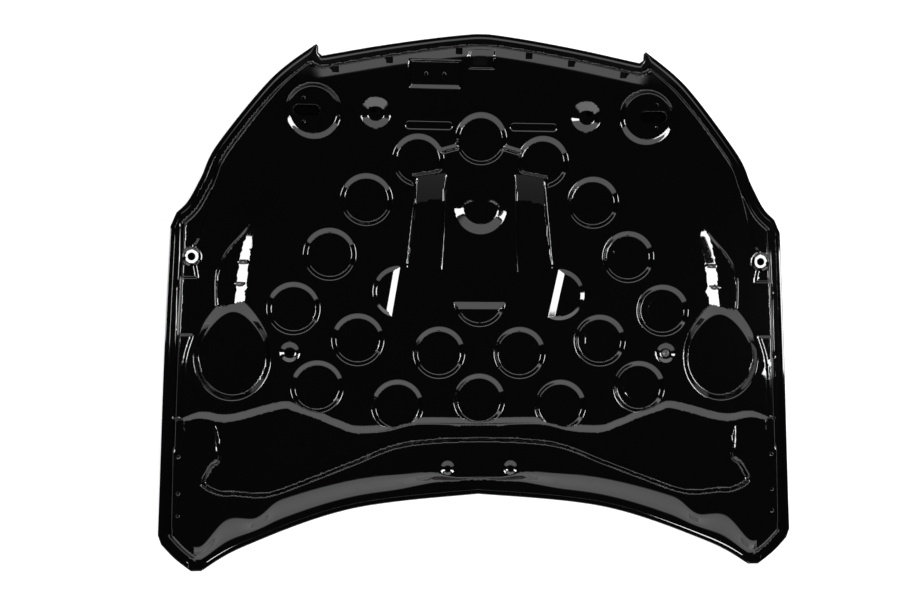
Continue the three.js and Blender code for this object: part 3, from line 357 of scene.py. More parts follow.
def recess_hollow(x, y):
    """The recess ahead of the rear band; its rear wall turns soft at its outer ends."""
    within = inside(x, y, RECESS_LOOP)
    to_front = distance(x, y, RECESS_FRONT) / RECESS_FRONT_WALL
    blend = RECESS_SOFT["blend"]
    soft = climb((y - RECESS_SOFT["y"]) / blend) * climb((x - RECESS_SOFT["x"]) / blend)
    wall = RECESS_REAR_WALL + (RECESS_SOFT["wall"] - RECESS_REAR_WALL) * soft
    to_rear = distance(x, y, RECESS_REAR) / wall
    return np.where(within, RECESS_DEPTH * climb(np.minimum(to_front, to_rear), RECESS_ROUNDED), 0)

# %% Small round pressings, raised forms and the nose pocket
DRAIN_AT = (441, -120)
ROUNDS = [
    dict(centre=DRAIN_AT, radius=26, depth=6, wall=16),
    dict(centre=(74, -391), radius=20, depth=5, wall=15)]
RAISED_ROUNDED = 0.15
DOME = dict(centre=(0, 220), radius=64, wall=26, front_wall=34, height=9, crown=2)
CONE = dict(centre=(247, 439), radius=38, wall=23, lean=8, height=9.5)
BEAD = dict(centre=(123, 410), half_length=46, radius=10, height=1.0, wall=2.4)
POCKET = dict(centre=(-1, 565), half=(32, 24), depth=4, wall=6)


def round_hollow(x, y):
    deepest = np.zeros(len(x))
    for form in ROUNDS:
        inwards = form["radius"] - np.hypot(x - form["centre"][0], y - form["centre"][1])
        deepest = np.maximum(deepest, form["depth"] * climb(inwards / form["wall"]))
    return deepest


def pocket_hollow(x, y):
    (cx, cy), (hx, hy) = POCKET["centre"], POCKET["half"]
    inwards = np.minimum(hx - np.abs(x - cx), hy - np.abs(y - cy))
    return POCKET["depth"] * climb(inwards / POCKET["wall"])


def raised(x, y):
    """The dome with its long front slope, the two leaning cones, the beads and the lenses."""
    off_x, off_y = x - DOME["centre"][0], y - DOME["centre"][1]
    radius = np.hypot(off_x, off_y)
    top = DOME["height"] + DOME["crown"] * np.clip(1 - (radius / DOME["radius"]) ** 2, 0, 1)
    wall = DOME["wall"] + DOME["front_wall"] * np.clip(off_y / np.maximum(radius, 1), 0, 1)
    dome = top * climb((DOME["radius"] - radius) / wall, RAISED_ROUNDED)
    off_x, off_y = x - CONE["centre"][0], y - CONE["centre"][1]
    radius = np.hypot(off_x, off_y)
    wall = CONE["wall"] + CONE["lean"] * off_y / np.maximum(radius, 1)
    cone = CONE["height"] * climb((CONE["radius"] - radius) / wall, RAISED_ROUNDED)
    along = np.maximum(0, np.abs(x - BEAD["centre"][0]) - BEAD["half_length"])
    reach = BEAD["radius"] - np.hypot(along, y - BEAD["centre"][1])
    bead = BEAD["height"] * climb(reach / BEAD["wall"])
    return dome + cone + bead + lens_rise(x, y)


# %% The panel before its flat pads
def formed_height(x, y):
    ax = np.abs(x)
    inset = distance(ax, y, HALF_OUTLINE)
    from_front = read_off(FRONT_EDGE, np.minimum(ax, EAR_X)) - y
    blend = climb((from_front - FRONT_BAND[1]) / FRONT_BLEND)
    across = (FRONT_BAND[1] - from_front) / (FRONT_BAND[1] - FRONT_BAND[0])
    fall = FRONT_BAND_FALL * climb(across, RAISED_ROUNDED) * climb((FRONT_BAND_END - ax) / FRONT_BAND_TAPER)
    land = np.where(y > 0, FRONT_LIFT + fall + (LAND_LIFT - FRONT_LIFT) * blend, LAND_LIFT)
    in_reach = between(y, SIDE_BAND_LINE[-1, 1], SIDE_BAND_LINE[0, 1])
    outside_gap = np.maximum(y - SIDE_BAND_GAP["front"], SIDE_BAND_GAP["rear"] - y) / SIDE_BAND_GAP["wall"]
    on_band = np.where(in_reach, climb((ax - read_off(SIDE_BAND_LINE, y, 1)) / STEP_WALL), 0)
    on_band = on_band * climb(outside_gap)
    hollow = np.max([
        cup_hollow(ax, y), half_cup_hollow(x, y), link_hollow(ax, y), channel_hollow(ax, y),
        bowl_hollow(ax, y), neck_hollow(ax, y), recess_hollow(ax, y), pocket_hollow(x, y),
        round_hollow(ax, y) + SIDE_BAND_DROP * on_band], axis=0)
    climbed = perimeter(ax, y, inset)
    return skin_height(x, y) + FLANGE_LIFT + (land - FLANGE_LIFT - hollow + raised(ax, y)) * climbed


# %% [markdown]
# Strikers, hinges and the safety catch bolt to flat pads. Each pad is a plane laid through the land,
# and its rim blends back into the panel.

# %% Flat pads
PAD_WALL = 9
STRIKER_AT, HINGE_AT, CATCH_AT, SEAT_AT = (390, 437), (672, -424), (-110, 528), (661, 98)
STRIKER_BOLTS, CATCH_BOLTS = [(22, 27), (22, -27)], [(-21, 0), (21, 0)]
HINGE_BOLTS = [(13, 70), (13, -12), (13, -62)]


def both_sides(place, tilt=(0, 0), bolts=(), **form):
    """The same pad on the right and, mirrored, on the left."""
    return [dict(centre=(s * place[0], place[1]), tilt=(s * tilt[0], tilt[1]),
                 bolts=[(s * x, y) for x, y in bolts], **form) for s in (1, -1)]


PAD_LIST = [
    *both_sides(STRIKER_AT, (-0.048, -0.044), STRIKER_BOLTS, lift=7, radius=66, above=2.6, wall=14),
    *both_sides(HINGE_AT, bolts=HINGE_BOLTS, lift=0, half=(31, 92)),
    dict(centre=CATCH_AT, tilt=(0.03, -0.06), bolts=CATCH_BOLTS, lift=6, half=(62, 34), above=3),
    *both_sides(SEAT_AT, lift=-2, radius=24, level=True)]
SLOPE_STEP = 8.0


def settle_pad(pad):
    """Adds the plane that a pad's plate sits in: its height at the centre and its slopes."""
    cx, cy = (np.array([v], float) for v in pad["centre"])
    pad["z"] = float(formed_height(cx, cy)[0]) + pad["lift"]
    rise_x = skin_height(cx + SLOPE_STEP, cy) - skin_height(cx - SLOPE_STEP, cy)
    rise_y = skin_height(cx, cy + SLOPE_STEP) - skin_height(cx, cy - SLOPE_STEP)
    follows = 0 if pad.get("level") else 1 / (2 * SLOPE_STEP)
    pad["slope"] = (float(rise_x[0]) * follows, float(rise_y[0]) * follows)


for pad in PAD_LIST:
    settle_pad(pad)
    print("pad at", pad["centre"], "height", round(pad["z"], 1))


def pad_face(pad, x, y):
    """The face of a pad: its plate's plane, raised and tilted a little where the pad says so."""
    (cx, cy), (sx, sy), (tx, ty) = pad["centre"], pad["slope"], pad["tilt"]
    return pad["z"] + pad.get("above", 0) + (sx + tx) * (x - cx) + (sy + ty) * (y - cy)


def panel_height(x, y):
    z = formed_height(x, y)
    for pad in PAD_LIST:
        cx, cy = pad["centre"]
        if "radius" in pad:
            reach = pad["radius"] - np.hypot(x - cx, y - cy)
        else:
            reach = np.minimum(pad["half"][0] - np.abs(x - cx), pad["half"][1] - np.abs(y - cy))
        z = z + (pad_face(pad, x, y) - z) * climb(reach / pad.get("wall", PAD_WALL))
    return z


# %% Holes through the panel
def ring(centre, radius, count=24):
    angle = 2 * np.pi * np.arange(count) / count
    return np.column_stack([centre[0] + radius * np.cos(angle), centre[1] + radius * np.sin(angle)])


def rounded_box(centre, half, corner, steps=5):
    loop = []
    for quarter, (sx, sy) in enumerate([(1, 1), (-1, 1), (-1, -1), (1, -1)]):
        for i in range(steps + 1):
            angle = math.pi / 2 * (quarter + i / steps)
            loop.append((centre[0] + sx * (half[0] - corner) + corner * math.cos(angle),
                         centre[1] + sy * (half[1] - corner) + corner * math.sin(angle)))
    return np.array(loop)


BOLT_RADIUS = 4.5
STRIKER_SLOT = dict(offset=15, half=(31, 13), corner=12)
NOSE_HOLE = dict(centre=(-4, 560), half=(17, 10), corner=3)
CLIP_X, CLIP_INSET, CLIP_HALF, CLIP_CORNER = [-340, -216, -55, 109, 209, 333], 36.5, (8, 7), 2
CONE_HOLE, SEAT_HOLE, PLUG_HOLE = 7, 9, 6.5
CONE_HOLE_OFFSET = (5, 3)


def bolt_holes(place, bolts, side=1):
    return [ring((side * (place[0] + x), place[1] + y), BOLT_RADIUS, 16) for x, y in bolts]


def panel_holes():
    """The outlines of all holes, first those of the nose, then each side's."""
    holes = [rounded_box(**NOSE_HOLE)]
    for x in CLIP_X:
        y = float(read_off(FRONT_EDGE, abs(x))) - CLIP_INSET
        holes.append(rounded_box((x, y), CLIP_HALF, CLIP_CORNER))
    cone_hole = np.add(CONE["centre"], CONE_HOLE_OFFSET)
    slot = (STRIKER_AT[0] + STRIKER_SLOT["offset"], STRIKER_AT[1])
    for s in (-1, 1):
        side = np.array([s, 1])
        holes += [ring(cone_hole * side, CONE_HOLE), ring(SEAT_AT * side, SEAT_HOLE)]
        holes.append(rounded_box(slot * side, STRIKER_SLOT["half"], STRIKER_SLOT["corner"]))
        holes += bolt_holes(STRIKER_AT, STRIKER_BOLTS, s) + bolt_holes(HINGE_AT, HINGE_BOLTS, s)
    holes += [ring(np.multiply(DRAIN_AT, (s, 1)), PLUG_HOLE) for s in (1, -1)]
    return holes + bolt_holes(CATCH_AT, CATCH_BOLTS)


# %% [markdown]
# A press tool's roundings are only a few millimetres wide, so an even mesh fine enough for them would
# be huge. We measure the height on one grid, keep its points only where the surface bends, add a finer
# set round the sharpest of them, and join all by a constrained Delaunay triangulation.

# %% Points where the surface bends
GRID = 3.0
CROWDED = 0.7
COARSE, MIDDLE = 4, 2
BEND_LIMITS = dict(above=(0.08, 0.2, 0.8), below=(0.3, None, None))


def bend_over(z, cells):
    """How much the slope changes across each grid point, over a few cells."""
    wide = np.pad(z, cells, mode="edge")
    size = wide.shape
    ahead, behind = slice(2 * cells, None), slice(0, -2 * cells)
    here = (slice(cells, size[0] - cells), slice(cells, size[1] - cells))
    pairs = [(wide[ahead, here[1]], wide[behind, here[1]]),
             (wide[here[0], ahead], wide[here[0], behind]),
             (wide[ahead, ahead], wide[behind, behind]), (wide[ahead, behind], wide[behind, ahead])]
    return np.max([np.abs(a + b - 2 * z) for a, b in pairs], axis=0) / (GRID * cells)


def nested_points(height, loop, limits, rings=()):
    """Plan points: coarse all over, finer where the surface bends, finest on its sharp roundings.
    The rings are given as (points, clear), and the grid stays out of what they clear."""
    middle_limit, fine_limit, sharp_limit = limits
    step = GRID * COARSE
    low, high = np.floor(loop.min(0) / step) * step, loop.max(0)
    columns, rows = np.arange(low[0], high[0], GRID), np.arange(low[1], high[1], GRID)
    gx, gy = np.meshgrid(columns, rows)
    z = height(gx.ravel(), gy.ravel()).reshape(gx.shape)
    i, j = np.meshgrid(np.arange(len(columns)), np.arange(len(rows)))
    fine = bend_over(z, 1)
    keep = (i % COARSE == 0) & (j % COARSE == 0)
    keep |= (i % MIDDLE == 0) & (j % MIDDLE == 0) & (bend_over(z, MIDDLE) > middle_limit)
    if fine_limit:
        keep |= fine > fine_limit
    points = np.column_stack([gx[keep], gy[keep]])
    if sharp_limit:
        sharp = fine > sharp_limit
        centre = np.column_stack([gx[sharp], gy[sharp]])
        steps = [-GRID / 2, 0, GRID / 2]
        around = [centre + (dx, dy) for dx in steps for dy in steps]
        points = np.unique(np.vstack([points, *around]), axis=0)
    for _, clear in rings:
        points = points[~clear(*points.T)]
    points = np.vstack([points, *(ring_points for ring_points, _ in rings)])
    points = points[inside(*points.T, loop)]
    _, first = np.unique(np.round(points / CROWDED), axis=0, return_index=True)
    return points[np.sort(first)]


# %% [markdown]
# The panel ends under the hem, a few millimetres inside the outline. Moving a loop inwards along the
# bisector at each point keeps it parallel to the outline.

# %% Loops moved inwards
def inward_of(loop):
    """Unit directions into a loop that runs anticlockwise."""
    along = np.roll(loop, -1, axis=0) - np.roll(loop, 1, axis=0)
    return np.column_stack([-along[:, 1], along[:, 0]]) / np.hypot(*along.T)[:, None]


ROOM_SHARE = 0.97


def moved_inwards(loop, offset):
    """A loop parallel to another, less the points that a sharp corner leaves no room for."""
    moved = loop + inward_of(loop) * offset
    return moved[distance(*moved.T, loop, closed=True) > offset * ROOM_SHARE]


# %% Rings of points along round walls
RING_STEP, RING_SPACING = 1.4, 4.5


def rings_about(centres, foot, rim):
    """Points on circles that follow a round wall from its foot to its rim."""
    points = []
    for radius in np.arange(foot - RING_STEP, rim + 1.5 * RING_STEP, RING_STEP):
        count = int(2 * math.pi * radius / RING_SPACING)
        points += [ring(centre, radius, count) for centre in centres]
    return np.vstack(points)


BOTH_CUPS = sorted({(s * x, y) for x, y in CUP_CENTRES for s in (-1, 1)})


def on_cup_wall(x, y):
    """Where a cup's wall runs with no other wall across it."""
    radius = np.min([np.hypot(x - cx, y - cy) for cx, cy in BOTH_CUPS], axis=0)
    on_wall = between(radius, CUP_RADIUS - CUP_WALL - 2 * RING_STEP, CUP_RADIUS + 2 * RING_STEP)
    return on_wall & (recess_hollow(np.abs(x), y) == 0)


# %% The triangles of a plan
def plan_mesh(points, loops, room=1.2):
    """Triangles over the points, with the loops as edges; the first loop is the outline."""
    keep = np.ones(len(points), bool)
    for loop in loops:
        reach = room + 1
        low, high = loop.min(0) - reach, loop.max(0) + reach
        near = np.all(between(points, low, high), axis=1)
        keep[near] &= distance(*points[near].T, loop, closed=True) > room
    for hole in loops[1:]:
        near = np.all(between(points, hole.min(0), hole.max(0)), axis=1)
        keep[near] &= ~inside(*points[near].T, hole)
    verts, edges = [], []
    for loop in loops:
        start = len(verts)
        verts += [Vector(p) for p in loop]
        edges += [(start + k, start + (k + 1) % len(loop)) for k in range(len(loop))]
    verts += [Vector(p) for p in points[keep]]
    flat, _, faces, _, _, _ = delaunay_2d_cdt(verts, edges, [], 0, 1e-4)
    flat, faces = np.array([v[:] for v in flat]), np.array(faces)
    centre = flat[faces].mean(1)
    within = inside(*centre.T, loops[0])
    for hole in loops[1:]:
        near = within & np.all(between(centre, hole.min(0), hole.max(0)), axis=1)
        within[near] &= ~inside(*centre[near].T, hole)
    return flat, faces[within]


def rim_of(faces):
    """Directed edges that only one triangle uses."""
    edges = np.vstack([faces[:, [0, 1]], faces[:, [1, 2]], faces[:, [2, 0]]])
    seen = {(a, b) for a, b in edges.tolist()}
    return np.array([(a, b) for a, b in seen if (b, a) not in seen])


# %% From plan to sheet
SLOPE_REACH = 0.4


def upward(height, x, y):
    """Unit normals of a height function."""
    rise_x = (height(x + SLOPE_REACH, y) - height(x - SLOPE_REACH, y)) / (2 * SLOPE_REACH)
    rise_y = (height(x, y + SLOPE_REACH) - height(x, y - SLOPE_REACH)) / (2 * SLOPE_REACH)
    normal = np.column_stack([-rise_x, -rise_y, np.ones(len(x))])
    return normal / np.linalg.norm(normal, axis=1)[:, None]


def side_normals(verts, triangles):
    edge = verts[triangles]
    side = np.cross(edge[:, 1] - edge[:, 0], edge[:, 2] - edge[:, 0])
    return side / np.maximum(np.linalg.norm(side, axis=1), 1e-12)[:, None]


def placed(name, data):
    """A new object in the scene that shows a mesh, a lamp or a camera."""
    piece = bpy.data.objects.new(name, data)
    bpy.context.scene.collection.objects.link(piece)
    return piece


def new_piece(name, verts, triangles, normals=None):
    """An object from millimetres in the drawn frame, with its place in its mesh."""
    place = (np.asarray(verts, float) + (0, ORIGIN_Y, 0)) * MM
    mesh = bpy.data.meshes.new(name)
    mesh.from_pydata(place.tolist(), [], np.asarray(triangles).tolist())
    mesh.shade_smooth()
    if normals is not None:
        mesh.normals_split_custom_set(normals.reshape(-1, 3).tolist())
    print(name, "triangles", len(mesh.polygons))
    return placed(name, mesh)


def sheet_piece(name, height, above, below):
    """A closed sheet from a fine plan above and a coarser one below, with the same loops."""
    (top, top_faces), (under, under_faces) = above, below
    count = len(top)
    up, down = upward(height, *top.T), upward(height, *under.T)
    verts = np.vstack([
        np.column_stack([top, height(*top.T)]) + up * SHEET / 2,
        np.column_stack([under, height(*under.T)]) - down * SHEET / 2])
    rim = rim_of(top_faces)
    walls = np.vstack([
        np.column_stack([rim[:, 1], rim[:, 0], rim[:, 0] + count]),
        np.column_stack([rim[:, 1], rim[:, 0] + count, rim[:, 1] + count])])
    triangles = np.vstack([top_faces, under_faces[:, ::-1] + count, walls])
    corner = np.vstack([up, -down])[triangles]
    corner[-len(walls):] = side_normals(verts, walls)[:, None, :]
    return new_piece(name, verts, triangles, corner)


# %% Rows of points along the other walls
def rows_beside(line, reach):
    """Points on lines parallel to an open line, on its side to the right, up to a reach."""
    along = np.gradient(line, axis=0)
    across = np.column_stack([along[:, 1], -along[:, 0]]) / np.hypot(*along.T)[:, None]
    rows = [line + across * d for d in np.arange(-RING_STEP, reach + RING_STEP, RING_STEP)]
    return np.vstack(rows)


FRONT_CREASES = [(25, 31), (46, 53)]
WALL_MARGIN = 1.05


def front_rows():
    """Rows along both creases of the band behind the nose."""
    insets = np.concatenate([np.arange(a, b, RING_STEP) for a, b in FRONT_CREASES])
    return np.vstack([FRONT_EDGE - (0, inset) for inset in insets])


def on_front_crease(x, y):
    from_front = read_off(FRONT_EDGE, np.minimum(np.abs(x), EAR_X)) - y
    near = [between(from_front, a - 1, b + 1) for a, b in FRONT_CREASES]
    return (np.abs(x) < EAR_X - 8) & np.any(near, axis=0)


def mirrored(points):
    return np.vstack([points, points * (-1, 1)])


def bowl_rings():
    (cx, cy), half = BOWL["centre"], BOWL["half_width"]
    points = []
    for width in np.arange(half - BOWL["front_wall"], half + 2 * RING_STEP, RING_STEP):
        angle = np.linspace(0, 2 * np.pi, int(2 * math.pi * width / RING_SPACING), endpoint=False)
        up = np.maximum(np.sin(angle), 0) * width / half
        reach = np.where(np.sin(angle) > 0, BOWL["front"], BOWL["rear"]) * width / half
        across = width * (1 - BOWL["taper"] * up ** 2) * np.cos(angle)
        points.append(np.column_stack([cx + across, cy + reach * np.sin(angle)]))
    return mirrored(np.vstack(points))


def half_cup_rows():
    points = []
    for half in HALF_CUPS:
        arcs = rings_about([half["centre"]], CUP_RADIUS - CUP_WALL, CUP_RADIUS)
        points.append(arcs[half_cup_place(half, *arcs.T)[0] > -RING_STEP])
        rows = rows_beside(spline([half["b"], half["a"]], RING_SPACING), half["wall"])
        points.append(rows[half_cup_place(half, *rows.T)[1] < CUP_RADIUS + RING_STEP])
    return np.vstack(points)


def on_half_cup_wall(x, y):
    near = np.zeros(len(x), bool)
    for half in HALF_CUPS:
        past, radius = half_cup_place(half, x, y)
        on_arc = (radius > CUP_RADIUS - CUP_WALL - 2 * RING_STEP) & (past > -RING_STEP)
        on_chord = between(past, -2 * RING_STEP, half["wall"] + RING_STEP)
        near |= (on_arc | on_chord) & (radius < CUP_RADIUS + 2 * RING_STEP)
    return near


def bead_rings():
    half = BEAD["half_length"]
    straight = np.arange(-half, half + 1, RING_SPACING)
    points = []
    for radius in np.arange(BEAD["radius"] - BEAD["wall"] - 1, BEAD["radius"] + 1.5):
        arc = ring((0, 0), radius, count=26)
        points.append(arc + np.sign(arc[:, :1]) * (half, 0))
        points += [np.column_stack([straight, np.full(len(straight), s * radius)]) for s in (-1, 1)]
    return mirrored(np.vstack(points) + BEAD["centre"])


def on_bead_wall(x, y):
    cx, cy = BEAD["centre"]
    radius = np.hypot(np.maximum(0, np.abs(np.abs(x) - cx) - BEAD["half_length"]), y - cy)
    return between(radius, BEAD["radius"] - BEAD["wall"] - 2, BEAD["radius"] + 2)


def near_outline(x, y):
    inset = distance(np.abs(x), y, HALF_OUTLINE)
    return between(inset, SIDE_FLANGE - 2 * RING_STEP, SIDE_FLANGE + SIDE_WALL + RING_STEP)


def in_recess_wall(x, y):
    ax = np.abs(x)
    near_front = distance(ax, y, RECESS_FRONT) < RECESS_FRONT_WALL * WALL_MARGIN
    near_rear = distance(ax, y, RECESS_REAR) < RECESS_REAR_WALL * WALL_MARGIN
    return inside(x, y, RECESS_LOOP) & (near_front | near_rear)


def on_bowl_wall(x, y):
    half = BOWL["half_width"]
    share = bowl_share(np.abs(x), y)
    return between(share, 1 - BOWL["front_wall"] / half, 1 + RING_STEP / half)


# %% Inner panel
PANEL_EDGE = moved_inwards(OUTLINE, HEM_BEND + 2)
panel_loops = [PANEL_EDGE, *panel_holes()]
flange_insets = np.arange(SIDE_FLANGE - RING_STEP, SIDE_FLANGE + SIDE_WALL + RING_STEP, RING_STEP)
wall_rows = [
    (rings_about(BOTH_CUPS, CUP_RADIUS - CUP_WALL, CUP_RADIUS), on_cup_wall),
    (np.vstack([moved_inwards(OUTLINE, inset) for inset in flange_insets]), near_outline),
    (mirrored(front_rows()), on_front_crease),
    (mirrored(rows_beside(RECESS_FRONT, RECESS_FRONT_WALL)), in_recess_wall),
    (mirrored(rows_beside(RECESS_REAR, RECESS_REAR_WALL)), in_recess_wall),
    (bowl_rings(), on_bowl_wall), (half_cup_rows(), on_half_cup_wall), (bead_rings(), on_bead_wall)]
above = plan_mesh(nested_points(panel_height, PANEL_EDGE, BEND_LIMITS["above"], wall_rows), panel_loops)
below = plan_mesh(nested_points(panel_height, PANEL_EDGE, BEND_LIMITS["below"]), panel_loops)
inner_panel = sheet_piece("pressed_inner_panel", panel_height, above, below)

# %% [markdown]
# The outer skin is hemmed: its rim is folded right round over the edge of the panel, and glue is
# baked in the fold. We sweep the section of that fold round the outline and stitch it to both faces
# of the skin, which makes one closed sheet.

# %% Outer skin with its hem
STACK = 3 * SHEET + 2 * SEAM
BEND_STEPS, INNER_STEPS = 8, 4
LEAF_ROUND, LEAF_LEAST, LEAF_ROOM = 0.25, 1.5, 0.95


def hem_section():
    """The fold as (share of the leaf's reach, distance outwards, lift), from outer to inner face."""
    section = []
    for k in range(1, BEND_STEPS + 1):
        angle = math.pi * k / BEND_STEPS
        section.append((0, HEM_BEND * math.sin(angle), STACK / 2 * (1 - math.cos(angle))))
    under = STACK - SHEET
    section += [(0.5, 0, STACK), (1, 0, STACK), (1, -LEAF_ROUND, STACK - LEAF_ROUND)]
    section += [(1, -LEAF_ROUND, under + LEAF_ROUND), (1, 0, under), (0.5, 0, under)]
    for k in range(INNER_STEPS):
        angle = math.pi * k / INNER_STEPS
        lift = STACK / 2 + (STACK / 2 - SHEET) * math.cos(angle)
        section.append((0, (HEM_BEND - SHEET) * math.sin(angle), lift))
    return section


def leaf_reach(loop, inwards):
    """How far the folded leaf can run inwards from each point before it would meet itself."""
    reach = np.full(len(loop), LEAF_LEAST)
    for trial in np.arange(2, HEM_WIDTH - HEM_BEND + 0.5, 1.0):
        x, y = (loop + inwards * trial).T
        fits = distance(x, y, OUTLINE, closed=True) > (trial + HEM_BEND) * LEAF_ROOM
        reach = np.where(fits & (reach >= trial - 1), trial, reach)
    return np.min([np.roll(reach, k) for k in (-1, 0, 1)], axis=0)


def outer_skin():
    loop = moved_inwards(OUTLINE, HEM_BEND)
    points = nested_points(skin_height, loop, BEND_LIMITS["below"])
    flat, faces = plan_mesh(points, [loop], room=5)
    count, size = len(flat), len(loop)
    low = np.column_stack([flat, skin_height(*flat.T)])
    up = upward(skin_height, *flat.T)
    verts, rings = [low, low + (0, 0, SHEET)], [np.arange(size)]
    inwards = inward_of(loop)
    reach = leaf_reach(loop, inwards)
    for share, outwards, lift in hem_section():
        ring_plan = loop + inwards * (reach * share - outwards)[:, None]
        start = sum(map(len, verts))
        verts.append(np.column_stack([ring_plan, skin_height(*ring_plan.T) + lift]))
        rings.append(np.arange(start, start + size))
    rings.append(np.arange(size) + count)
    triangles = [faces[:, ::-1], faces + count]
    for lower, upper in zip(rings, rings[1:]):
        triangles.append(np.column_stack([lower, np.roll(lower, -1), np.roll(upper, -1)]))
        triangles.append(np.column_stack([lower, np.roll(upper, -1), upper]))
    verts, triangles = np.vstack(verts), np.vstack(triangles)
    corner = np.zeros((len(triangles), 3, 3))
    corner[:len(faces)] = -up[faces[:, ::-1]]
    corner[len(faces):2 * len(faces)] = up[faces]
    return new_piece("hemmed_outer_skin", verts, triangles, corner)


hemmed_skin = outer_skin()

# %% [markdown]
# A rubber plug closes the drain hole in one dimple. It is a turned form, so we sweep a profile round
# its axis, with its rim rounded as moulding leaves it.

# %% Dimple plug
PLUG_RADIUS, PLUG_FLANGE, PLUG_STEM = 9, 2, 7
PLUG_SEGMENTS = 48


def plug_profile():
    hole = PLUG_HOLE - 2 * SEAM
    head = SHEET / 2 + SEAM
    top = head + PLUG_FLANGE
    return [(0, -PLUG_STEM), (hole - 2, -PLUG_STEM), (hole - 1.5, -PLUG_STEM + 0.6),
            (hole, -0.4), (hole, head),
            (PLUG_RADIUS - 0.3, head), (PLUG_RADIUS, head + 0.3), (PLUG_RADIUS - 0.2, head + 1),
            (PLUG_RADIUS - 0.8, top - 0.4), (PLUG_RADIUS - 1.6, top), (PLUG_RADIUS - 4.5, top),
            (PLUG_RADIUS - 5.2, top - 0.7), (0, top - 0.9)]


def seat_frame(pad):
    """The drawn-frame matrix of a pad: its origin at the pad's centre and its z square to it."""
    sx, sy = pad["slope"]
    turn = Vector((0, 0, 1)).rotation_difference(Vector((-sx, -sy, 1)).normalized())
    return Matrix.Translation((*pad["centre"], pad["z"])) @ turn.to_matrix().to_4x4()


def turned(profile, segments, place):
    """A closed turned form about z, whose first and last profile points lie on the axis."""
    middle = profile[1:-1]
    verts = [Vector((0, 0, profile[0][1])), Vector((0, 0, profile[-1][1]))]
    for radius, z in middle:
        verts += [Vector((radius * math.cos(a), radius * math.sin(a), z))
                  for a in np.arange(segments) * 2 * math.pi / segments]
    at = lambda row, k: 2 + row * segments + k % segments
    triangles = []
    for k in range(segments):
        triangles += [(0, at(0, k + 1), at(0, k)), (1, at(len(middle) - 1, k), at(len(middle) - 1, k + 1))]
        for row in range(len(middle) - 1):
            a, b, c, d = at(row, k), at(row, k + 1), at(row + 1, k + 1), at(row + 1, k)
            triangles += [(a, b, c), (a, c, d)]
    return [tuple(place @ v) for v in verts], triangles


plug_seat = dict(centre=DRAIN_AT, lift=0)
settle_pad(plug_seat)
dimple_plug = new_piece("rubber_plug", *turned(plug_profile(), PLUG_SEGMENTS, seat_frame(plug_seat)))
dimple_plug.data.set_sharp_from_angle(angle=math.radians(50))

# %% [markdown]
# A nut is welded behind each bolt hole. The twelve nuts are the same, so Geometry Nodes makes one and
# sets it on points that carry the way each pad faces.

# %% Where the nuts sit
NUT_ACROSS, NUT_HEIGHT, NUT_HOLE = 13, 6.5, 3.8
PLATE = 1.5
nut_depth = SHEET / 2 + SEAM + PLATE + SEAM + NUT_HEIGHT


def nut_places():
    """(position, normal) of the lower face of each nut, in the drawn frame."""
    places = []
    for pad in PAD_LIST:
        seat = seat_frame(pad)
        normal = seat.to_3x3() @ Vector((0, 0, 1))
        places += [(seat @ Vector((x, y, -nut_depth)), normal) for x, y in pad["bolts"]]
    return places


nut_points = bpy.data.meshes.new("nut_places")
nut_points.from_pydata([tuple((at + Vector((0, ORIGIN_Y, 0))) * MM) for at, _ in nut_places()], [], [])
facing = nut_points.attributes.new("facing", "FLOAT_VECTOR", "POINT")
for value, (_, normal) in zip(facing.data, nut_places()):
    value.vector = normal
print("nuts", len(nut_points.vertices))


# %% One nut, set on every place
def wire(tree, *rows):
    """Joins sockets: each row names a node, its output, the next node and its input."""
    for source, leaving, target, entering in rows:
        tree.links.new(source.outputs[leaving], target.inputs[entering])


def add_nodes(tree, family, *kinds):
    """New nodes of one family, such as ShaderNode, in the order of their kinds."""
    return [tree.nodes.new(family + kind) for kind in kinds]


def node_group(name, tree_type, inputs, outputs):
    """A node group with its sockets, given as (label, kind), and its two end nodes."""
    tree = bpy.data.node_groups.new(name, tree_type)
    for direction, sockets in (("INPUT", inputs), ("OUTPUT", outputs)):
        for label, kind in sockets:
            tree.interface.new_socket(label, in_out=direction, socket_type="NodeSocket" + kind)
    return tree, *add_nodes(tree, "NodeGroup", "Input", "Output")


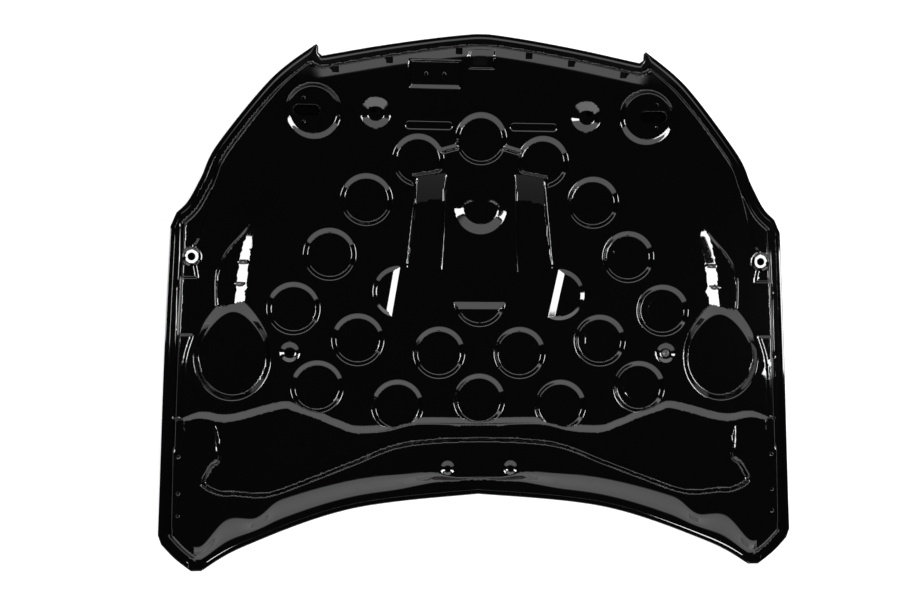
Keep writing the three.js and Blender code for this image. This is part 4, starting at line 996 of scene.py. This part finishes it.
def nut_tree():
    """A hexagon less a round hole, pushed up to the nut's height and closed below."""
    tree, given, result = node_group("weld_nuts", "GeometryNodeTree", [
        ("Places", "Geometry"), ("Across flats", "Float"), ("Height", "Float"), ("Hole radius", "Float"),
        ("Finish", "Material")], [("Nuts", "Geometry")])
    hexagon, hole, both, fill, push, flip, close, merge, facing, place, real, finish = add_nodes(
        tree, "GeometryNode", "CurvePrimitiveCircle", "CurvePrimitiveCircle", "JoinGeometry", "FillCurve",
        "ExtrudeMesh", "FlipFaces", "JoinGeometry", "MergeByDistance", "InputNamedAttribute",
        "InstanceOnPoints", "RealizeInstances", "SetMaterial")
    to_corner = tree.nodes.new("ShaderNodeMath")
    turn = tree.nodes.new("FunctionNodeAlignRotationToVector")
    to_corner.operation = "MULTIPLY"
    to_corner.inputs[1].default_value = 1 / math.sqrt(3)
    hexagon.inputs["Resolution"].default_value = 6
    hole.inputs["Resolution"].default_value = 24
    push.inputs["Individual"].default_value = False
    merge.inputs["Distance"].default_value = 0.01 * MM
    facing.data_type = "FLOAT_VECTOR"
    facing.inputs["Name"].default_value = "facing"
    turn.axis = "Z"
    wire(tree, (given, "Across flats", to_corner, 0), (to_corner, 0, hexagon, "Radius"),
         (given, "Hole radius", hole, "Radius"), (hexagon, "Curve", both, "Geometry"),
         (hole, "Curve", both, "Geometry"), (both, "Geometry", fill, "Curve"),
         (given, "Height", push, "Offset Scale"), (fill, "Mesh", push, "Mesh"),
         (fill, "Mesh", flip, "Mesh"), (push, "Mesh", close, "Geometry"), (flip, "Mesh", close, "Geometry"),
         (close, "Geometry", merge, "Geometry"), (facing, "Attribute", turn, "Vector"),
         (given, "Places", place, "Points"), (merge, "Geometry", place, "Instance"),
         (turn, "Rotation", place, "Rotation"), (place, "Instances", real, "Geometry"),
         (real, "Geometry", finish, "Geometry"), (given, "Finish", finish, "Material"),
         (finish, "Geometry", result, "Nuts"))
    return tree

# %% [markdown]
# Every finish is a material made of nodes. Effects that several finishes share are node groups: the
# faint ripple that sprayed paint dries with, and the fine dust that dulls a surface in patches.

# %% Shared effects
GRAINS_PER_PATCH = 24.0


def paint_ripple():
    """Normals of a surface with shallow waves a few millimetres long."""
    tree, given, result = node_group(
        "paint_ripple", "ShaderNodeTree", [("Scale", "Float"), ("Depth", "Float")], [("Normal", "Vector")])
    where, noise, bump = add_nodes(tree, "ShaderNode", "TexCoord", "TexNoise", "Bump")
    noise.inputs["Detail"].default_value = 1.0
    wire(tree, (where, "Object", noise, "Vector"), (given, "Scale", noise, "Scale"),
         (noise, "Fac", bump, "Height"), (given, "Depth", bump, "Distance"),
         (bump, "Normal", result, "Normal"))
    return tree


def dust_film():
    """A patchy mask of fine dust, from 0 for clean to 1 for the dustiest spots."""
    tree, given, result = node_group(
        "dust_film", "ShaderNodeTree", [("Scale", "Float"), ("Amount", "Float")], [("Mask", "Float")])
    where, patches, grains, finer, both, level = add_nodes(
        tree, "ShaderNode", "TexCoord", "TexNoise", "TexNoise", "Math", "Math", "Math")
    for node in (finer, both, level):
        node.operation = "MULTIPLY"
    finer.inputs[1].default_value = GRAINS_PER_PATCH
    patches.inputs["Detail"].default_value = 3.0
    grains.inputs["Detail"].default_value = 4.0
    wire(tree, (where, "Object", patches, "Vector"), (where, "Object", grains, "Vector"),
         (given, "Scale", patches, "Scale"), (given, "Scale", finer, 0), (finer, 0, grains, "Scale"),
         (patches, "Fac", both, 0), (grains, "Fac", both, 1), (both, 0, level, 0),
         (given, "Amount", level, 1), (level, 0, result, "Mask"))
    return tree


RIPPLE, DUST = paint_ripple(), dust_film()
print("shared effects", RIPPLE.name, DUST.name)

# %% How a finish is put together
DUST_COLOUR = (0.22, 0.21, 0.19, 1)
DUST_ROUGHNESS = 0.1


def group_node(tree, group, **values):
    node = tree.nodes.new("ShaderNodeGroup")
    node.node_tree = group
    for label, value in values.items():
        node.inputs[label].default_value = value
    return node


def new_material(name):
    """A material, its node tree and the shader that it starts with."""
    material = bpy.data.materials.new(name)
    material.use_nodes = True
    return material, material.node_tree, material.node_tree.nodes["Principled BSDF"]


def finish_of(name, colour, roughness, ripple, dust, metallic=0.0):
    """A material that dust tints and dulls in patches. Ripple is (scale, depth), dust (scale, amount)."""
    material, tree, shader = new_material(name)
    waves = group_node(tree, RIPPLE, Scale=ripple[0], Depth=ripple[1])
    film = group_node(tree, DUST, Scale=dust[0], Amount=dust[1])
    tint, rough = add_nodes(tree, "ShaderNode", "Mix", "MapRange")
    tint.data_type = "RGBA"
    tint.inputs["A"].default_value = (*colour, 1)
    tint.inputs["B"].default_value = DUST_COLOUR
    rough.inputs["To Min"].default_value = roughness
    rough.inputs["To Max"].default_value = roughness + DUST_ROUGHNESS
    wire(tree, (film, "Mask", tint, "Factor"), (tint, "Result", shader, "Base Color"),
         (film, "Mask", rough, "Value"), (rough, "Result", shader, "Roughness"),
         (waves, "Normal", shader, "Normal"))
    shader.inputs["Metallic"].default_value = metallic
    return material

# %% [markdown]
# The bonnet is sprayed gloss black on both faces, over a dark primer. The backing plates are coated
# steel, the nuts zinc plated, the pads under the cups soft mastic, and the plug plain rubber.

# %% The finishes
skin_paint = finish_of(
    "gloss_black_skin", (0.0012, 0.0012, 0.0014), roughness=0.05, ripple=(260, 1.2e-6), dust=(3, 0.004))
panel_paint = finish_of(
    "gloss_black_panel", (0.0012, 0.0012, 0.0013), roughness=0.06, ripple=(320, 1.2e-6), dust=(5, 0.004))
plate_coat = finish_of(
    "coated_plate", (0.012, 0.012, 0.014), roughness=0.38, ripple=(600, 2e-6), dust=(8, 0.1), metallic=0.2)
nut_zinc = finish_of(
    "zinc_nut", (0.42, 0.42, 0.43), roughness=0.36, ripple=(900, 4e-6), dust=(40, 0.2), metallic=1.0)
mastic_paste = finish_of(
    "mastic_paste", (0.018, 0.017, 0.015), roughness=0.82, ripple=(250, 2e-4), dust=(30, 0.2))
plug_rubber = finish_of(
    "plug_rubber", (0.008, 0.008, 0.009), roughness=0.45, ripple=(800, 1e-5), dust=(60, 0.15))
print("finishes", len(bpy.data.materials))

# %% Nuts from the tree
tree = nut_tree()
holder = placed("weld_nuts", nut_points)
modifier = holder.modifiers.new("nuts", "NODES")
modifier.node_group = tree
values = {"Across flats": NUT_ACROSS * MM, "Height": NUT_HEIGHT * MM, "Hole radius": NUT_HOLE * MM,
          "Finish": nut_zinc}
for socket in tree.interface.items_tree:
    if socket.in_out == "INPUT" and socket.name in values:
        modifier[socket.identifier] = values[socket.name]
evaluated = holder.evaluated_get(bpy.context.evaluated_depsgraph_get())
nuts_mesh = bpy.data.meshes.new_from_object(evaluated)
holder.modifiers.clear()
holder.data = nuts_mesh
holder.name = "weld_nut_set"
nuts_mesh.polygons.foreach_set("material_index", [0] * len(nuts_mesh.polygons))
print("nut set", len(nuts_mesh.polygons), "faces")

# %% [markdown]
# The frame's own meshes stay where a plain shape is all the real piece has: plates and mastic pads.
# They only take their finish. Each made piece then rides on the body, and the nodes it stands for are
# hidden.

# %% Finishes on the pieces
def put_on(piece, material):
    piece.data.materials.clear()
    piece.data.materials.append(material)


put_on(inner_panel, panel_paint)
put_on(hemmed_skin, skin_paint)
put_on(dimple_plug, plug_rubber)
put_on(holder, nut_zinc)
for name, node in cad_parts.items():
    if name.endswith("_reinforcement"):
        put_on(node, plate_coat)
    elif name.startswith("mastic_pad"):
        put_on(node, mastic_paste)

# %% What each made piece stands for
nut_nodes = sorted(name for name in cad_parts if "_weld_nut_" in name)
made = [(inner_panel, "panel_paint", ["inner_panel"]), (hemmed_skin, "paint", ["outer_skin"]),
        (dimple_plug, "rubber", ["dimple_plug"]), (holder, "zinc", nut_nodes)]
for piece, slot_name, nodes in made:
    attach(piece, "root")
    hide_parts(*nodes)
print("nodes replaced", sum(len(nodes) for _, _, nodes in made))

# %% [markdown]
# The bonnet lies on a white floor and is seen from straight above. Gloss black shows little but what
# it mirrors, so the picture is made by two bright soft boxes at its sides, a broad pale card beyond
# its rear edge and a narrower one beyond its nose. They light reflections only.

# %% Floor
FLOOR_SIZE = 6.0
FLOOR_DROP = 0.001
FLOOR_GLOW = 0.45


def math_node(tree, operation, a, b=None):
    """The result of an operation on sockets or numbers."""
    node = tree.nodes.new("ShaderNodeMath")
    node.operation = operation
    for socket, value in zip(node.inputs, (a, b)):
        if isinstance(value, (int, float)):
            socket.default_value = value
        elif value is not None:
            tree.links.new(value, socket)
    return node.outputs[0]


def card(name, centre, half_x, half_y, facing=None):
    """A flat rectangle about a point, facing another point, its place in its mesh."""
    corners = [(-half_x, -half_y, 0), (half_x, -half_y, 0), (half_x, half_y, 0), (-half_x, half_y, 0)]
    place = Matrix.Translation(centre)
    if facing is not None:
        away = Vector(facing) - Vector(centre)
        place = place @ away.to_track_quat("Z", "Y").to_matrix().to_4x4()
    mesh = bpy.data.meshes.new(name)
    mesh.from_pydata([tuple(place @ Vector(c)) for c in corners], [], [(0, 1, 2, 3)])
    return placed(name, mesh)


floor = card("floor", (0, 0, -FLOOR_DROP), FLOOR_SIZE, FLOOR_SIZE)
floor_white, tree, shader = new_material("floor_white")
shader.inputs["Base Color"].default_value = (0.8, 0.8, 0.8, 1)
shader.inputs["Roughness"].default_value = 0.9
shader.inputs["Specular IOR Level"].default_value = 0.0
rays = tree.nodes.new("ShaderNodeLightPath")
seen = math_node(tree, "MAXIMUM", rays.outputs["Is Camera Ray"], rays.outputs["Is Glossy Ray"])
shader.inputs["Emission Color"].default_value = (1, 1, 1, 1)
tree.links.new(math_node(tree, "MULTIPLY", seen, FLOOR_GLOW), shader.inputs["Emission Strength"])
print("floor", 2 * FLOOR_SIZE, "m wide")
put_on(floor, floor_white)

# %% Soft boxes
BOX_STRENGTH = 26
BOX_HALF = (0.175, 0.275)
BOXES = dict(right=(0.9, -0.01, 1.0), left=(-0.9, 0.08, 1.0))
for side, centre in BOXES.items():
    box = card("soft_box_" + side, centre, *BOX_HALF, (0, centre[1], 0))
    glow, tree, shader = new_material("soft_box_" + side)
    tree.nodes.remove(shader)
    light = tree.nodes.new("ShaderNodeEmission")
    light.inputs["Color"].default_value = (1, 1, 1, 1)
    light.inputs["Strength"].default_value = BOX_STRENGTH
    wire(tree, (light, 0, tree.nodes["Material Output"], "Surface"))
    put_on(box, glow)
    box.visible_camera = False
    box.visible_diffuse = False
    box.visible_shadow = False
    box.visible_transmission = False
print("soft boxes", list(BOXES))

# %% World
REAR_CARD = dict(starts=(0.28, 0.62), sides=(2.2575, 2.0425), level=2.0)
NOSE_CARD = dict(near=(0.75, 0.95), far=(2.6, 2.2), sides=(1.903, 1.557), level=3.2)
AMBIENT = 0.75
LEAST = 0.001

world = bpy.data.worlds.new("studio")
bpy.context.scene.world = world
world.use_nodes = True
tree = world.node_tree
tree.nodes.clear()


def combine(operation, a, b=None):
    return math_node(tree, operation, a, b)


def ease(value, low, high):
    """0 at low and 1 at high, smooth between; low may be the greater."""
    node = tree.nodes.new("ShaderNodeMapRange")
    node.interpolation_type = "SMOOTHSTEP"
    node.inputs["From Min"].default_value = low
    node.inputs["From Max"].default_value = high
    tree.links.new(value, node.inputs["Value"])
    return node.outputs["Result"]


where, way = add_nodes(tree, "ShaderNode", "TexCoord", "SeparateXYZ")
wire(tree, (where, "Generated", way, 0))
dx, dy, dz = way.outputs
towards_nose = combine("DIVIDE", dy, combine("MAXIMUM", dz, LEAST))
towards_rear = combine("MULTIPLY", towards_nose, -1)
along = combine("MAXIMUM", combine("ABSOLUTE", dy), LEAST)
sideways = combine("DIVIDE", combine("ABSOLUTE", dx), along)
rear_card = combine("MULTIPLY", ease(towards_rear, *REAR_CARD["starts"]),
                    ease(sideways, *REAR_CARD["sides"]))
nose_card = combine("MULTIPLY", ease(towards_nose, *NOSE_CARD["near"]),
                    ease(towards_nose, *NOSE_CARD["far"]))
nose_card = combine("MULTIPLY", nose_card, ease(sideways, *NOSE_CARD["sides"]))
cards = combine("ADD", combine("MULTIPLY", rear_card, REAR_CARD["level"]),
                combine("MULTIPLY", nose_card, NOSE_CARD["level"]))
reflected = combine("ADD", cards, combine("LESS_THAN", dz, 0.0))
rays = tree.nodes.new("ShaderNodeLightPath")
seen, glossy = rays.outputs["Is Camera Ray"], rays.outputs["Is Glossy Ray"]
diffuse = combine("SUBTRACT", 1.0, combine("MAXIMUM", seen, glossy))
lit = combine("ADD", combine("MULTIPLY", glossy, reflected), combine("MULTIPLY", diffuse, AMBIENT))
background = tree.nodes.new("ShaderNodeBackground")
background.inputs["Color"].default_value = (1, 1, 1, 1)
tree.links.new(combine("ADD", seen, lit), background.inputs["Strength"])
wire(tree, (background, 0, tree.nodes.new("ShaderNodeOutputWorld"), "Surface"))
print("world nodes", len(tree.nodes))

# %% A soft lamp overhead for the shadow on the floor
lamp_data = bpy.data.lights.new("overhead", "AREA")
lamp_data.size = 2.4
lamp_data.energy = 60
lamp = placed("overhead", lamp_data)
lamp.location = (0.3, 0.2, 2.6)
lamp.visible_glossy = False
print("lamp", lamp_data.energy, "W")

# %% [markdown]
# The camera looks straight down from 3 m. Its turn, its lens and its shift were measured from where
# known points of the bonnet stand in the photo.

# %% Camera
DISTANCE, YAW, ROLL = 3.0, 0.0958, 0.0062
AIM_Z = 0.04
FOCAL_PX, WIDTH_PX = 1283.1, 920
SHIFT_PX = (20.5, 5.0)
SENSOR = 36.0
aim = Vector((0, ORIGIN_Y * MM, AIM_Z))
eye = aim + Vector((-DISTANCE * math.sin(YAW), 0, DISTANCE * math.cos(YAW)))
forward = (aim - eye).normalized()
right = forward.cross(Vector((0, 1, 0))).normalized()
upwards = right.cross(forward)
across = right * math.cos(ROLL) + upwards * math.sin(ROLL)
upright = upwards * math.cos(ROLL) - right * math.sin(ROLL)
lens = bpy.data.cameras.new("camera")
lens.sensor_width = SENSOR
lens.lens = FOCAL_PX * SENSOR / WIDTH_PX
lens.shift_x, lens.shift_y = (-v / WIDTH_PX for v in SHIFT_PX)
lens.clip_end = 20
camera = placed("camera", lens)
camera.matrix_world = Matrix.Translation(eye) @ Matrix((across, upright, -forward)).transposed().to_4x4()
bpy.context.scene.camera = camera
bpy.context.scene.view_settings.view_transform = "Standard"
print("lens", round(lens.lens, 3), "mm at", tuple(round(v, 3) for v in eye))
